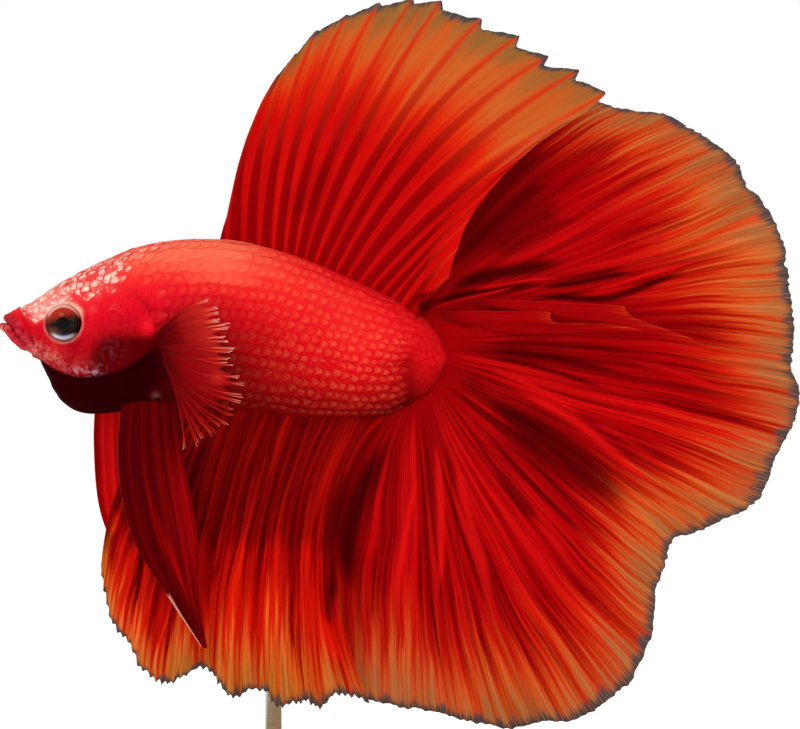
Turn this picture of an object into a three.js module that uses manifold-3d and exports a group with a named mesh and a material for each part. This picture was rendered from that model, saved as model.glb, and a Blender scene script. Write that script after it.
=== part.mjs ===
// A male betta fish with every fin spread, life size, held over a flat base by one thin rod.
// Millimetres, +Z up. The head points along -X, so the left flank faces -Y.
// The origin is the centre of the base's underside.

import * as THREE from 'three';
import { mergeVertices } from 'three/addons/utils/BufferGeometryUtils.js';
import Module from 'manifold-3d';

const wasm = await Module();
wasm.setup();

// ---- driving dimensions ----

const GAP = 0.3; // clearance between neighbouring pieces
const SNOUT_X = -39.9; // tip of the lower lip
const TAIL_BASE_X = 4.7; // rounded end of the flesh, where the tail rays spring
const BODY_STATIONS = 28;
const BODY_SIDES = 20;
const FIN_THICKNESS = 0.78;
const RAY_PROUD = 0.2; // how much thicker a fin is along a ray
const ROOT_DEPTH = 0.9; // how far a fin's root starts under the skin line

// Pairs of [x, height] or [x, half width] along the body.
const BACK = [
  [-39.9, 52.5], [-39.3, 53.6], [-37.3, 54.3], [-34.1, 56.4], [-28.8, 59.1], [-24.7, 60.4],
  [-18.2, 60.8], [-11.2, 59.3], [-3.4, 56.1], [0.9, 54.1], [3.4, 52.1], [4.7, 49.2],
];
const BELLY = [
  [-39.9, 52.1], [-39.2, 51.3], [-38.1, 50.2], [-36.4, 48.9], [-35.4, 47.3], [-34.4, 45.2],
  [-33.2, 43.9], [-31.3, 43.2], [-26, 43.5], [-15, 43.6], [-8, 42.9], [-1.4, 43.1],
  [2, 45.2], [4.1, 47.3], [4.7, 48.6],
];
const HALF_WIDTH = [
  [-39.9, 0.45], [-39.3, 1.35], [-37.6, 2.2], [-34, 3.35], [-30, 4.2], [-25, 4.65],
  [-18, 4.4], [-10, 3.7], [-3, 2.5], [1, 1.6], [3.6, 0.95], [4.7, 0.35],
];

const EYE = { x: -33.6, y: 2.25, z: 52.3, radius: 1.9, flattening: 0.86 };

// Outlines seen from the left side, as [x, z].
const HEAD_OUTLINE = [
  [-42, 40], [-42, 64], [-28.2, 64], [-26.6, 60], [-25.6, 56.5], [-24.6, 54],
  [-24, 52.1], [-24.4, 50.2], [-25.8, 48.3], [-27.4, 46], [-28, 40],
];
const TAIL_BASE_OUTLINE = [[-1.6, 64], [-3, 56], [-3.2, 50], [-2.6, 44], [-1.4, 38], [10, 38], [10, 64]];
const UPPER_JAW_OUTLINE = [
  [-42, 54.5], [-42, 52.9], [-39.5, 52.7], [-38, 51.6], [-37, 50], [-36.2, 50.6], [-37.4, 53.4], [-37.6, 56],
];
const LOWER_JAW_OUTLINE = [
  [-42, 52.5], [-39.6, 52.4], [-38.2, 51.2], [-37.2, 49.8], [-36.3, 48.7], [-36.7, 47], [-42, 49],
];
const GILL_COVER_OUTLINE = [
  [-30.4, 47.6], [-31.2, 49.3], [-30.7, 51.4], [-29.9, 53.2], [-28.7, 54.9], [-27, 55.9],
  [-25.7, 55.2], [-24.9, 53.6], [-24.4, 52.1], [-24.8, 50.4], [-26.2, 48.7], [-28, 47.7],
];
const THROAT_OUTLINE = [
  [-36.9, 49], [-35.9, 48.6], [-34.6, 47.9], [-33.4, 47.3], [-31.6, 46.9], [-29.4, 47],
  [-27.6, 47.2], [-26.6, 46.9], [-27.4, 45.4], [-27.8, 40], [-40, 40],
];
const GILL_COVER_THICKNESS = 0.9;
const SIDES = [[-1, 'left'], [1, 'right']]; // sign of y, and the word in the node's name

const DORSAL_RAYS = 14;
const ANAL_RAYS = 19;
const TAIL_RAYS = 30;
const PECTORAL_RAYS = 8;

// The tail fan: rays leave a rounded root and end on a rim measured from one pivot.
const TAIL_ROOT = { x: 0.9, z: 48.9, reachX: 2.9, reachZ: 3.1 };
const TAIL_PIVOT = { x: 4.5, z: 48.2 };
const TAIL_TOP_ANGLE = 76;
const TAIL_BOTTOM_ANGLE = -112;
const TAIL_REACH = [
  [-112, 32.4], [-100, 34], [-84, 36.2], [-70, 37.4], [-56, 35.5], [-46, 31.2], [-37, 29.7],
  [-28, 32.5], [-19, 34.4], [-6, 35.2], [12, 34.9], [28, 36], [44, 34.6], [58, 31], [76, 29],
];
const TAIL_SWAY = [
  [-112, 3.4], [-98, 3], [-84, -0.2], [-68, -2.4], [-53, -0.8], [-38, 3], [-26, 0.6],
  [-13, -2], [-2, 0.4], [10, -2.6], [22, -0.4], [36, 2.6], [56, 3.6], [76, 3.4],
];

const TAIL_BOW = [[-112, -7], [-90, -2.4], [-70, 0], [40, 0], [60, -1], [76, -3.4]];

const STAND = {
  thickness: 4,
  halfLength: 32,
  halfDepth: 19,
  bevel: 0.6,
  rodX: -12.8,
  rodY: 3.3,
  rodRadius: 0.85,
  rodSides: 20,
  rodTop: 49,
  collarRadius: 2.2,
  collarHeight: 2.4,
};

// ---- shared shape functions ----

/** A smooth function of x through [x, value] pairs. */
function smooth(pairs) {
  const knots = pairs.map(([x, value]) => new THREE.Vector3(x, value, 0));
  const curve = new THREE.CatmullRomCurve3(knots, false, 'centripetal');
  const samples = curve.getPoints(16 * pairs.length);
  return (x) => {
    const after = Math.max(1, samples.findIndex((sample) => sample.x >= x));
    const end = x >= samples.at(-1).x ? samples.length - 1 : after;
    const a = samples[end - 1];
    const b = samples[end];
    const t = THREE.MathUtils.clamp((x - a.x) / Math.max(b.x - a.x, 1e-9), 0, 1);
    return a.y + (b.y - a.y) * t;
  };
}

/** A point at t on the smooth line through [x, z] pairs, spaced evenly by length. */
function along(pairs) {
  const knots = pairs.map(([x, z]) => new THREE.Vector3(x, 0, z));
  const curve = new THREE.CatmullRomCurve3(knots, false, 'centripetal');
  return (t) => curve.getPointAt(THREE.MathUtils.clamp(t, 0, 1));
}

const backHeight = smooth(BACK);
const bellyHeight = smooth(BELLY);
const midHeight = (x) => (backHeight(x) + bellyHeight(x)) / 2;
const halfWidth = smooth(HALF_WIDTH);
const tailReach = smooth(TAIL_REACH);
const tailSway = smooth(TAIL_SWAY);
const tailBow = smooth(TAIL_BOW);

/** Closed geometry from rows of points, each row a ring, with a pole at each end. */
function loft(rings, firstPole, lastPole) {
  const sides = rings[0].length;
  const positions = [];
  const index = [];
  rings.flat().forEach((point) => positions.push(point.x, point.y, point.z));
  const first = rings.length * sides;
  const last = first + 1;
  positions.push(firstPole.x, firstPole.y, firstPole.z, lastPole.x, lastPole.y, lastPole.z);
  for (let i = 0; i < sides; i += 1) {
    const next = (i + 1) % sides;
    index.push(first, next, i);
    for (let ring = 0; ring < rings.length - 1; ring += 1) {
      const a = ring * sides + i;
      const b = ring * sides + next;
      index.push(a, b, b + sides, a, b + sides, a + sides);
    }
    const start = (rings.length - 1) * sides;
    index.push(last, start + i, start + next);
  }
  return closedGeometry(positions, index);
}

/** Indexed geometry whose faces are turned outwards. */
function closedGeometry(positions, index) {
  let volume = 0;
  const at = (i) => new THREE.Vector3().fromArray(positions, 3 * i);
  for (let i = 0; i < index.length; i += 3) {
    volume += at(index[i]).dot(at(index[i + 1]).cross(at(index[i + 2])));
  }
  const geometry = new THREE.BufferGeometry();
  geometry.setAttribute('position', new THREE.Float32BufferAttribute(positions, 3));
  geometry.setIndex(volume > 0 ? index : index.toReversed());
  return geometry;
}

/** The whole fish's flesh, from lips to tail base, grown or shrunk by a margin. */
function bodyGeometry(margin = 0, narrower = 0) {
  const length = TAIL_BASE_X - SNOUT_X;
  const rings = [];
  for (let i = 1; i < BODY_STATIONS; i += 1) {
    const share = (1 - Math.cos((Math.PI * i) / BODY_STATIONS)) / 2;
    const s = THREE.MathUtils.lerp(i / BODY_STATIONS, share, 0.75);
    const x = SNOUT_X + length * s;
    const middle = midHeight(x);
    const half = (backHeight(x) - bellyHeight(x)) / 2 + margin;
    const wide = Math.max(halfWidth(x) + margin - narrower, 0.2);
    const ring = [];
    for (let j = 0; j < BODY_SIDES; j += 1) {
      const turn = (2 * Math.PI * j) / BODY_SIDES;
      const across = Math.sign(Math.sin(turn)) * Math.abs(Math.sin(turn)) ** 0.92;
      const rise = Math.cos(turn);
      const y = wide * across * (1 - 0.1 * rise);
      ring.push(new THREE.Vector3(x + margin * (2 * s - 1), y, middle + rise * half));
    }
    rings.push(ring);
  }
  const nose = new THREE.Vector3(SNOUT_X - margin, 0, midHeight(SNOUT_X));
  const tail = new THREE.Vector3(TAIL_BASE_X + margin, 0, midHeight(TAIL_BASE_X));
  return loft(rings, nose, tail);
}

/** A block with the given side outline, from one y to another. */
function prism(outline, yFrom = -12, yTo = 12) {
  const shape = new THREE.Shape(outline.map(([x, z]) => new THREE.Vector2(x, z)));
  const geometry = new THREE.ExtrudeGeometry(shape, { depth: yTo - yFrom, bevelEnabled: false });
  geometry.rotateX(Math.PI / 2);
  geometry.translate(0, yTo, 0);
  return geometry;
}

/** An outline moved outwards along its own normals, for the thin cut round a piece. */
function widened(outline, distance) {
  const points = outline.map(([x, z]) => new THREE.Vector2(x, z));
  const turn = THREE.ShapeUtils.isClockWise(points) ? -1 : 1;
  return points.map((point, i) => {
    const before = points.at(i - 1);
    const after = points[(i + 1) % points.length];
    const arriving = point.clone().sub(before).normalize();
    const leaving = after.clone().sub(point).normalize();
    const bisector = arriving.add(leaving).normalize();
    return [point.x + turn * bisector.y * distance, point.y - turn * bisector.x * distance];
  });
}

/**
 * A fin: a thin sheet through centre(u, v), with u across the rays and v along them.
 * It is as thick as thickness(u, v) in Y, and its four edges are closed.
 */
function finGeometry(columns, rows, centre, thickness) {
  const positions = [];
  const index = [];
  for (const side of [-1, 1]) {
    for (let i = 0; i <= columns; i += 1) {
      for (let j = 0; j <= rows; j += 1) {
        const u = i / columns;
        const v = j / rows;
        const point = centre(u, v);
        positions.push(point.x, point.y + (side * thickness(u, v)) / 2, point.z);
      }
    }
  }
  const back = (columns + 1) * (rows + 1);
  const at = (i, j) => i * (rows + 1) + j;
  const quad = (a, b, c, d) => index.push(a, b, c, a, c, d);
  for (let i = 0; i < columns; i += 1) {
    for (let j = 0; j < rows; j += 1) {
      quad(at(i, j), at(i + 1, j), at(i + 1, j + 1), at(i, j + 1));
      quad(back + at(i, j + 1), back + at(i + 1, j + 1), back + at(i + 1, j), back + at(i, j));
    }
    quad(at(i + 1, 0), at(i, 0), back + at(i, 0), back + at(i + 1, 0));
    quad(at(i, rows), at(i + 1, rows), back + at(i + 1, rows), back + at(i, rows));
  }
  for (let j = 0; j < rows; j += 1) {
    quad(at(0, j), at(0, j + 1), back + at(0, j + 1), back + at(0, j));
    quad(at(columns, j + 1), at(columns, j), back + at(columns, j), back + at(columns, j + 1));
  }
  return closedGeometry(positions, index);
}

/** 1 on a ray, 0 halfway between two rays. */
function rayShare(u, rays) {
  return (1 + Math.cos(2 * Math.PI * rays * u)) / 2;
}

function finThickness(rays) {
  return (u) => FIN_THICKNESS + RAY_PROUD * rayShare(u, rays);
}

// ---- booleans ----

function solid(geometry) {
  const bare = geometry.clone();
  bare.deleteAttribute('normal');
  bare.deleteAttribute('uv');
  const merged = mergeVertices(bare, 1e-4);
  return new wasm.Manifold(new wasm.Mesh({
    numProp: 3,
    vertProperties: Float32Array.from(merged.attributes.position.array),
    triVerts: Uint32Array.from(merged.index.array),
  }));
}

/** The largest connected body of a solid, without crumbs from the cuts. */
function mainBody(cut) {
  return cut.decompose().reduce((best, body) => (body.volume() > best.volume() ? body : best));
}

function geometryOf(cut) {
  const mesh = mainBody(cut).getMesh();
  const geometry = new THREE.BufferGeometry();
  geometry.setAttribute('position', new THREE.BufferAttribute(mesh.vertProperties, 3));
  geometry.setIndex(new THREE.BufferAttribute(mesh.triVerts, 1));
  return geometry;
}

// ---- the model ----

const fish = new THREE.Group();

function add(name, geometry, color, roughness = 0.5, metalness = 0) {
  const material = new THREE.MeshStandardMaterial({ color, roughness, metalness });
  const mesh = new THREE.Mesh(geometry, material);
  mesh.name = name;
  fish.add(mesh);
}

const SKIN_RED = '#c8201a';
const CHEEK_RED = '#d2453c';
const LIP_RED = '#c63a33';
const THROAT_RED = '#3a0606';
const FIN_RED = '#b3140c';
const EYE_DARK = '#2a120c';
const STAND_WOOD = '#c9a878';
const STAND_STEEL = '#b8babd';

// Head, throat, jaws, gill covers, trunk and tail base are one body parted by thin cuts.
const body = solid(bodyGeometry());
const bodyWithGap = solid(bodyGeometry(GAP));
const underGillCover = solid(bodyGeometry(0, GILL_COVER_THICKNESS));
const underGillCoverGap = solid(bodyGeometry(0, GILL_COVER_THICKNESS + GAP));

const headBlock = solid(prism(HEAD_OUTLINE));
const tailBaseBlock = solid(prism(TAIL_BASE_OUTLINE));
const throatBlock = solid(prism(THROAT_OUTLINE));
const upperJawBlock = solid(prism(UPPER_JAW_OUTLINE));
const lowerJawBlock = solid(prism(LOWER_JAW_OUTLINE));
const gillCoverBlock = solid(prism(GILL_COVER_OUTLINE));
const cut = (outline) => solid(prism(widened(outline, GAP)));
const gillCoverCut = cut(GILL_COVER_OUTLINE).subtract(underGillCoverGap);

/** An eyeball, or the socket round it, on the left (-1) or right (1) side. */
function eyeball(side, radius) {
  const ball = new THREE.SphereGeometry(radius, 14, 10);
  ball.rotateX(Math.PI / 2);
  ball.scale(1, EYE.flattening, 1);
  ball.translate(EYE.x, side * EYE.y, EYE.z);
  return ball;
}

const sockets = solid(eyeball(-1, EYE.radius + GAP)).add(solid(eyeball(1, EYE.radius + GAP)));
const head = body
  .intersect(headBlock)
  .subtract(cut(THROAT_OUTLINE))
  .subtract(cut(UPPER_JAW_OUTLINE))
  .subtract(cut(LOWER_JAW_OUTLINE))
  .subtract(gillCoverCut)
  .subtract(sockets);
add('head', geometryOf(head), CHEEK_RED);
add('upper_jaw', geometryOf(body.intersect(upperJawBlock)), LIP_RED, 0.4);
add('lower_jaw', geometryOf(body.intersect(lowerJawBlock).subtract(cut(UPPER_JAW_OUTLINE))), LIP_RED, 0.4);
add('throat', geometryOf(body.intersect(throatBlock).subtract(cut(LOWER_JAW_OUTLINE))), THROAT_RED, 0.6);

const gillCovers = body.intersect(gillCoverBlock).subtract(underGillCover).subtract(cut(THROAT_OUTLINE));
for (const [side, word] of SIDES) {
  const flank = new THREE.BoxGeometry(60, 20, 40);
  flank.translate(EYE.x, side * 10, EYE.z);
  const cover = gillCovers.intersect(solid(flank));
  add(`gill_cover_${word}`, geometryOf(cover), CHEEK_RED);
  add(`eye_${word}`, eyeball(side, EYE.radius), EYE_DARK, 0.1);
}

const trunk = body.subtract(cut(HEAD_OUTLINE)).subtract(cut(TAIL_BASE_OUTLINE));
add('trunk', geometryOf(trunk), SKIN_RED, 0.45);
add('tail_base', geometryOf(body.intersect(tailBaseBlock)), SKIN_RED, 0.45);

// Dorsal fin: rays fan from the rear half of the back, the last ones leaning over the tail.
const dorsalBase = along([[-18.2, 60.8], [-11.2, 59.3], [-3.4, 56.1], [0.6, 54.2]]);
const dorsalTips = along([
  [-11.4, 78.2], [-9, 81], [-5.3, 83], [0.2, 84.2], [4.3, 84],
  [8.2, 82.1], [12.2, 80.1], [16.4, 77.6], [20.2, 74.7],
]);

/** A point on a fin ray that bows between its root and its tip. */
function bowedRay(root, tip, bow, v) {
  const middle = root.clone().add(tip).multiplyScalar(0.5).add(bow);
  return new THREE.QuadraticBezierCurve3(root, middle, tip).getPoint(v);
}

function dorsalPoint(u, v) {
  const root = dorsalBase(u);
  root.z -= ROOT_DEPTH;
  const tip = dorsalTips(u);
  tip.z += (0.35 + 0.75 * u) * (rayShare(u, DORSAL_RAYS) - 0.5);
  const point = bowedRay(root, tip, new THREE.Vector3(-1.2 - 2.2 * u, 0, 1.6 * u), v);
  const lean = -2.3 * u ** 1.5 * v ** 0.8;
  const wave = 0.7 * Math.sin(2 * Math.PI * (1.6 * u + 0.15)) * v ** 1.5 * (1 - u);
  const pleat = 0.28 * v * (rayShare(u, DORSAL_RAYS) - 0.5);
  point.y = lean + wave - pleat;
  return point;
}

const dorsalFin = solid(finGeometry(2 * DORSAL_RAYS, 6, dorsalPoint, finThickness(DORSAL_RAYS)));
add('dorsal_fin', geometryOf(dorsalFin.subtract(bodyWithGap)), FIN_RED);

// Anal fin: a deep curtain under the belly, sweeping back and then down.
const analBase = along([[-21.6, 43.6], [-15, 43.6], [-8, 42.9], [-1.6, 43.1]]);
const analSway = smooth([[0, 0.4], [0.2, -1.6], [0.38, 0.5], [0.55, -1.7], [0.72, -0.2], [1, -1.9]]);
const analTips = along([
  [-29.8, 29.6], [-28.6, 22.6], [-25.6, 17.9], [-22, 17], [-16, 15.6], [-10, 14.2], [-3.4, 14.4],
]);

function analPoint(u, v) {
  const root = analBase(u);
  root.z += ROOT_DEPTH;
  const tip = analTips(u);
  tip.z -= 0.7 * (rayShare(u, ANAL_RAYS) - 0.5);
  const point = bowedRay(root, tip, new THREE.Vector3(-1.6 - 6 * u, 0, 0.8), v);
  const pleat = 0.3 * v * (rayShare(u, ANAL_RAYS) - 0.5);
  point.y = analSway(u) * v ** 0.8 - pleat;
  return point;
}

const analFin = solid(finGeometry(2 * ANAL_RAYS, 6, analPoint, finThickness(ANAL_RAYS)));
add('anal_fin', geometryOf(analFin.subtract(bodyWithGap)), FIN_RED);

// Tail fin: a fan of rays over a little more than half a circle, folded like a curtain.
function tailPoint(u, v) {
  const degrees = THREE.MathUtils.lerp(TAIL_TOP_ANGLE, TAIL_BOTTOM_ANGLE, u);
  const angle = THREE.MathUtils.degToRad(degrees);
  const reach = tailReach(degrees) + 0.5 * (rayShare(u, TAIL_RAYS) - 0.5);
  const root = new THREE.Vector3(
    TAIL_ROOT.x + TAIL_ROOT.reachX * Math.cos(angle),
    0,
    TAIL_ROOT.z + TAIL_ROOT.reachZ * Math.sin(angle),
  );
  const tip = new THREE.Vector3(
    TAIL_PIVOT.x + reach * Math.cos(angle),
    0,
    TAIL_PIVOT.z + reach * Math.sin(angle),
  );
  const bow = new THREE.Vector3(tailBow(degrees), 0, 0);
  const point = bowedRay(root, tip, bow, v);
  const pleat = 0.4 * v * (rayShare(u, TAIL_RAYS) - 0.5);
  point.y = tailSway(degrees) * v ** 0.75 - pleat;
  return point;
}

const dorsalClearance = solid(finGeometry(2 * DORSAL_RAYS, 6, dorsalPoint, () => 1 + 2 * GAP));
const analClearance = solid(finGeometry(2 * ANAL_RAYS, 6, analPoint, () => 1 + 2 * GAP));
const tailFin = solid(finGeometry(2 * TAIL_RAYS, 6, tailPoint, finThickness(TAIL_RAYS)))
  .subtract(bodyWithGap)
  .subtract(dorsalClearance)
  .subtract(analClearance);
add('tail_fin', geometryOf(tailFin), FIN_RED);

// Paired fins. The pectoral is a fan standing off the flank behind the gill cover.
const PECTORAL = { x: -24, z: 50.7, rootHalf: 1.5, topAngle: 38, bottomAngle: -77 };
const pectoralReach = smooth([
  [-77, 10.6], [-62, 11], [-46, 10.4], [-32, 10.1], [-18, 8], [0, 7.4], [20, 7.1], [38, 6.7],
]);

function pectoralPoint(side) {
  return (u, v) => {
    const degrees = THREE.MathUtils.lerp(PECTORAL.topAngle, PECTORAL.bottomAngle, u);
    const angle = THREE.MathUtils.degToRad(degrees);
    const reach = pectoralReach(degrees) + 0.7 * (rayShare(u, PECTORAL_RAYS) - 0.5);
    const root = new THREE.Vector3(PECTORAL.x, 0, PECTORAL.z + PECTORAL.rootHalf * (1 - 2 * u));
    const tip = new THREE.Vector3(
      PECTORAL.x + reach * Math.cos(angle),
      0,
      PECTORAL.z + reach * Math.sin(angle),
    );
    const point = root.lerp(tip, v);
    const flare = 4.5 + 3.1 * v ** 0.8 + 0.5 * Math.sin(Math.PI * u) * v;
    point.y = side * flare;
    return point;
  };
}

// The pelvic fins are long blades that hang from the belly and trail back to a point.
const PELVICS = {
  left: {
    side: -1,
    front: [[-27.6, 44.6], [-27.8, 38.5], [-26.2, 31], [-22.6, 25], [-19.6, 20.4]],
    rear: [[-23, 44.6], [-21.6, 38.5], [-20, 31], [-19.8, 25.6], [-19, 20.2]],
  },
  right: {
    side: 1,
    front: [[-30.6, 44.4], [-30.9, 40], [-30.3, 33], [-27.4, 26.5], [-24, 22.4]],
    rear: [[-26.4, 44.4], [-26, 38.5], [-25.2, 31], [-24.2, 26], [-23.4, 22.2]],
  },
};

function pelvicPoint({ side, front, rear }) {
  const frontEdge = along(front);
  const rearEdge = along(rear);
  return (u, v) => {
    const point = frontEdge(v).lerp(rearEdge(v), u);
    point.y = side * (1.9 + 2.9 * Math.sin(0.7 * Math.PI * v) + 0.5 * Math.sin(Math.PI * u) * (1 - v));
    return point;
  };
}

for (const [side, word] of SIDES) {
  const fan = solid(finGeometry(2 * PECTORAL_RAYS, 3, pectoralPoint(side), () => FIN_THICKNESS));
  add(`pectoral_fin_${word}`, geometryOf(fan.subtract(bodyWithGap)), FIN_RED);
  const blade = solid(finGeometry(4, 9, pelvicPoint(PELVICS[word]), () => FIN_THICKNESS));
  add(`pelvic_fin_${word}`, geometryOf(blade.subtract(bodyWithGap)), FIN_RED);
}

// Stand: an oval base, one straight rod behind the anal fin, and the collar that holds it.
const ovalShape = new THREE.Shape();
ovalShape.absellipse(0, 0, STAND.halfLength - STAND.bevel, STAND.halfDepth - STAND.bevel, 0, 2 * Math.PI);
const base = new THREE.ExtrudeGeometry(ovalShape, {
  depth: STAND.thickness - 2 * STAND.bevel,
  bevelThickness: STAND.bevel,
  bevelSize: STAND.bevel,
  bevelSegments: 1,
  curveSegments: 18,
});
base.translate(0, 0, STAND.bevel);
add('stand_base', base, STAND_WOOD, 0.55);

function upright(radius, from, to) {
  const cylinder = new THREE.CylinderGeometry(radius, radius, to - from, STAND.rodSides);
  cylinder.rotateX(Math.PI / 2);
  cylinder.translate(STAND.rodX, STAND.rodY, (from + to) / 2);
  return solid(cylinder);
}

const collarFrom = STAND.thickness + GAP;
const collarTo = collarFrom + STAND.collarHeight;
const rod = upright(STAND.rodRadius, collarFrom, STAND.rodTop);
const collarBore = upright(STAND.rodRadius + GAP, 0, STAND.rodTop);
const collar = upright(STAND.collarRadius, collarFrom, collarTo).subtract(collarBore);
add('stand_rod', geometryOf(rod.subtract(bodyWithGap)), STAND_STEEL, 0.3, 1);
add('stand_collar', geometryOf(collar), STAND_STEEL, 0.35, 1);

export default fish;
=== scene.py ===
# A male betta fish with every fin spread, life size, held over a flat oval base by one thin rod.
# Blender's unit is the metre. Shapes are worked out in millimetres and scaled when a mesh is made.
import math

import bpy
import numpy as np
from mathutils import Matrix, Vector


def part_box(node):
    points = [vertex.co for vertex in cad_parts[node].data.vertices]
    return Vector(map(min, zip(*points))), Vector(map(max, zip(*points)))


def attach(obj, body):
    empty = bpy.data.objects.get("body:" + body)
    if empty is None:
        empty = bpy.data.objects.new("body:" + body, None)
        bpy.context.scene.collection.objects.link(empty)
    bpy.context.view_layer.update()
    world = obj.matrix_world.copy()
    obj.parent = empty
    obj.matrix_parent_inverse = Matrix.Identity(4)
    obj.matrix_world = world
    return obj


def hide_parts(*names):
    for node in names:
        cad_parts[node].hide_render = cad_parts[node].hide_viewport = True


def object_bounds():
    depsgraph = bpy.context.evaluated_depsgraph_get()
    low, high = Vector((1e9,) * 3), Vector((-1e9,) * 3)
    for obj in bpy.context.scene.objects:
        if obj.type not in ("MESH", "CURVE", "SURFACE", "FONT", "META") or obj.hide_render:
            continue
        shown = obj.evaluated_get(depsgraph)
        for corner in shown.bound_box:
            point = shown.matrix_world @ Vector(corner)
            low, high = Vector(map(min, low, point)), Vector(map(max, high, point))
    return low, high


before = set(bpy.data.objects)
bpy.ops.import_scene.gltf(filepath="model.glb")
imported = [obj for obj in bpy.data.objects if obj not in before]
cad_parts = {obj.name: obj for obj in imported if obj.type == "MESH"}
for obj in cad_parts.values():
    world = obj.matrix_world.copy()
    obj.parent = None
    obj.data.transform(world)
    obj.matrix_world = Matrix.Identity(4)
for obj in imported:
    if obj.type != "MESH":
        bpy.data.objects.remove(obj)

MM = 0.001
cad_low, cad_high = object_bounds()


# ---- Camera and studio ----
# A level view square to the left flank, just wide enough for the spread fins.
# The fish stands in a round pale tray whose rim curves up all round, lit by three soft lamps.

def place_camera():
    """A long lens, so that near and far fins keep their true proportions."""
    lens = 135
    sensor = 36
    margin = 0.3 * MM
    width = cad_high.x - cad_low.x + margin
    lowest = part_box("tail_fin")[0].z
    data = bpy.data.cameras.new("camera")
    data.lens = lens
    data.sensor_width = sensor
    data.clip_start = 0.01
    data.clip_end = 10
    camera = bpy.data.objects.new("camera", data)
    camera.location = (0, -width * lens / sensor, (lowest + cad_high.z) / 2)
    camera.rotation_euler = (math.radians(90), 0, 0)
    bpy.context.scene.collection.objects.link(camera)
    bpy.context.scene.camera = camera


place_camera()
bpy.context.scene.view_settings.view_transform = "Standard"


def soft_lamp(name, place, size, power):
    """A square soft lamp that points at the middle of the fish."""
    data = bpy.data.lights.new(name, "AREA")
    data.size = size
    data.energy = power
    lamp = bpy.data.objects.new(name, data)
    lamp.location = place
    middle = (cad_low + cad_high) / 2
    lamp.rotation_euler = (middle - lamp.location).to_track_quat("-Z", "Y").to_euler()
    lamp.visible_camera = False
    bpy.context.scene.collection.objects.link(lamp)


soft_lamp("key_lamp", (-0.16, -0.26, 0.40), 0.14, 0.58)
soft_lamp("fill_lamp", (0.34, -0.34, 0.22), 0.26, 0.14)
soft_lamp("back_lamp", (0.10, 0.36, 0.30), 0.22, 0.45)


def put(tree, kind, inputs=(), **settings):
    """Adds a node. settings are its properties; inputs are its sockets' values or what feeds them."""
    node = tree.nodes.new(kind)
    for name, value in settings.items():
        setattr(node, name, value)
    for socket, value in dict(inputs).items():
        if isinstance(value, bpy.types.NodeSocket):
            tree.links.new(value, node.inputs[socket])
        else:
            node.inputs[socket].default_value = value
    return node


def tint(code):
    """A scene colour from a six-digit display colour."""
    parts = [int(code[i:i + 2], 16) / 255 for i in (0, 2, 4)]
    linear = [p / 12.92 if p <= 0.04045 else ((p + 0.055) / 1.055) ** 2.4 for p in parts]
    return (*linear, 1)


def math_of(tree, operation, *values, clamp=False):
    """The result of one Math node."""
    inputs = dict(enumerate(values))
    return put(tree, "ShaderNodeMath", inputs, operation=operation, use_clamp=clamp).outputs[0]


def product_of(tree, value, *others):
    """The result of multiplying values."""
    for other in others:
        value = math_of(tree, "MULTIPLY", value, other)
    return value


def nudged_of(tree, value, noise, amount):
    """A value moved up and down by noise that runs from 0 to 1."""
    return math_of(tree, "MULTIPLY_ADD", math_of(tree, "SUBTRACT", noise, 0.5), amount, value)


def mix_of(tree, share, first, second):
    """The result of mixing two colours."""
    return put(tree, "ShaderNodeMix", {0: share, 6: first, 7: second}, data_type="RGBA").outputs[2]


def ramp_of(tree, value, stops):
    """The colour along a ramp of (position, display colour) stops."""
    node = put(tree, "ShaderNodeValToRGB", {0: value})
    elements = node.color_ramp.elements
    while len(elements) < len(stops):
        elements.new(0.5)
    for element, (position, code) in zip(elements, stops):
        element.position = position
        element.color = tint(code)
    return node.outputs[0]


def span_of(tree, value, low, high, to_low=0.0, to_high=1.0):
    """A value eased from one span to another and held at its ends."""
    inputs = {0: value, 1: low, 2: high, 3: to_low, 4: to_high}
    return put(tree, "ShaderNodeMapRange", inputs, interpolation_type="SMOOTHSTEP").outputs[0]


def noise_of(tree, vector, scale, detail=3.0, roughness=0.5):
    """Cloudy noise from 0 to 1 on the given coordinates."""
    inputs = {"Vector": vector, "Scale": scale, "Detail": detail, "Roughness": roughness}
    return put(tree, "ShaderNodeTexNoise", inputs).outputs[0]


def place_of(tree):
    """Object coordinates, which are metres in the fish's own frame."""
    return put(tree, "ShaderNodeTexCoord").outputs["Object"]


def attribute_of(tree, name):
    """A number stored on the mesh."""
    return put(tree, "ShaderNodeAttribute", attribute_name=name).outputs["Fac"]


def finish_of(name, specular=0.5, coat=0.0, metal=0.0):
    """A new material with one Principled shader whose unchanging values are set on its own sockets."""
    material = bpy.data.materials.new(name)
    material.use_nodes = True
    shader = material.node_tree.nodes["Principled BSDF"]
    shader.inputs["Specular IOR Level"].default_value = specular
    shader.inputs["Coat Weight"].default_value = coat
    shader.inputs["Coat Roughness"].default_value = 0.05
    shader.inputs["Metallic"].default_value = metal
    return material, material.node_tree, shader


def dress(tree, shader, colour, roughness, normal=None):
    """Feeds what changes over a surface to its shader."""
    for socket, value in (("Base Color", colour), ("Roughness", roughness), ("Normal", normal)):
        if value is not None:
            tree.links.new(value, shader.inputs[socket])


def bump_of(tree, height, distance, strength=1.0):
    """A surface normal raised by a height."""
    inputs = {"Height": height, "Distance": distance, "Strength": strength}
    return put(tree, "ShaderNodeBump", inputs).outputs[0]


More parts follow.
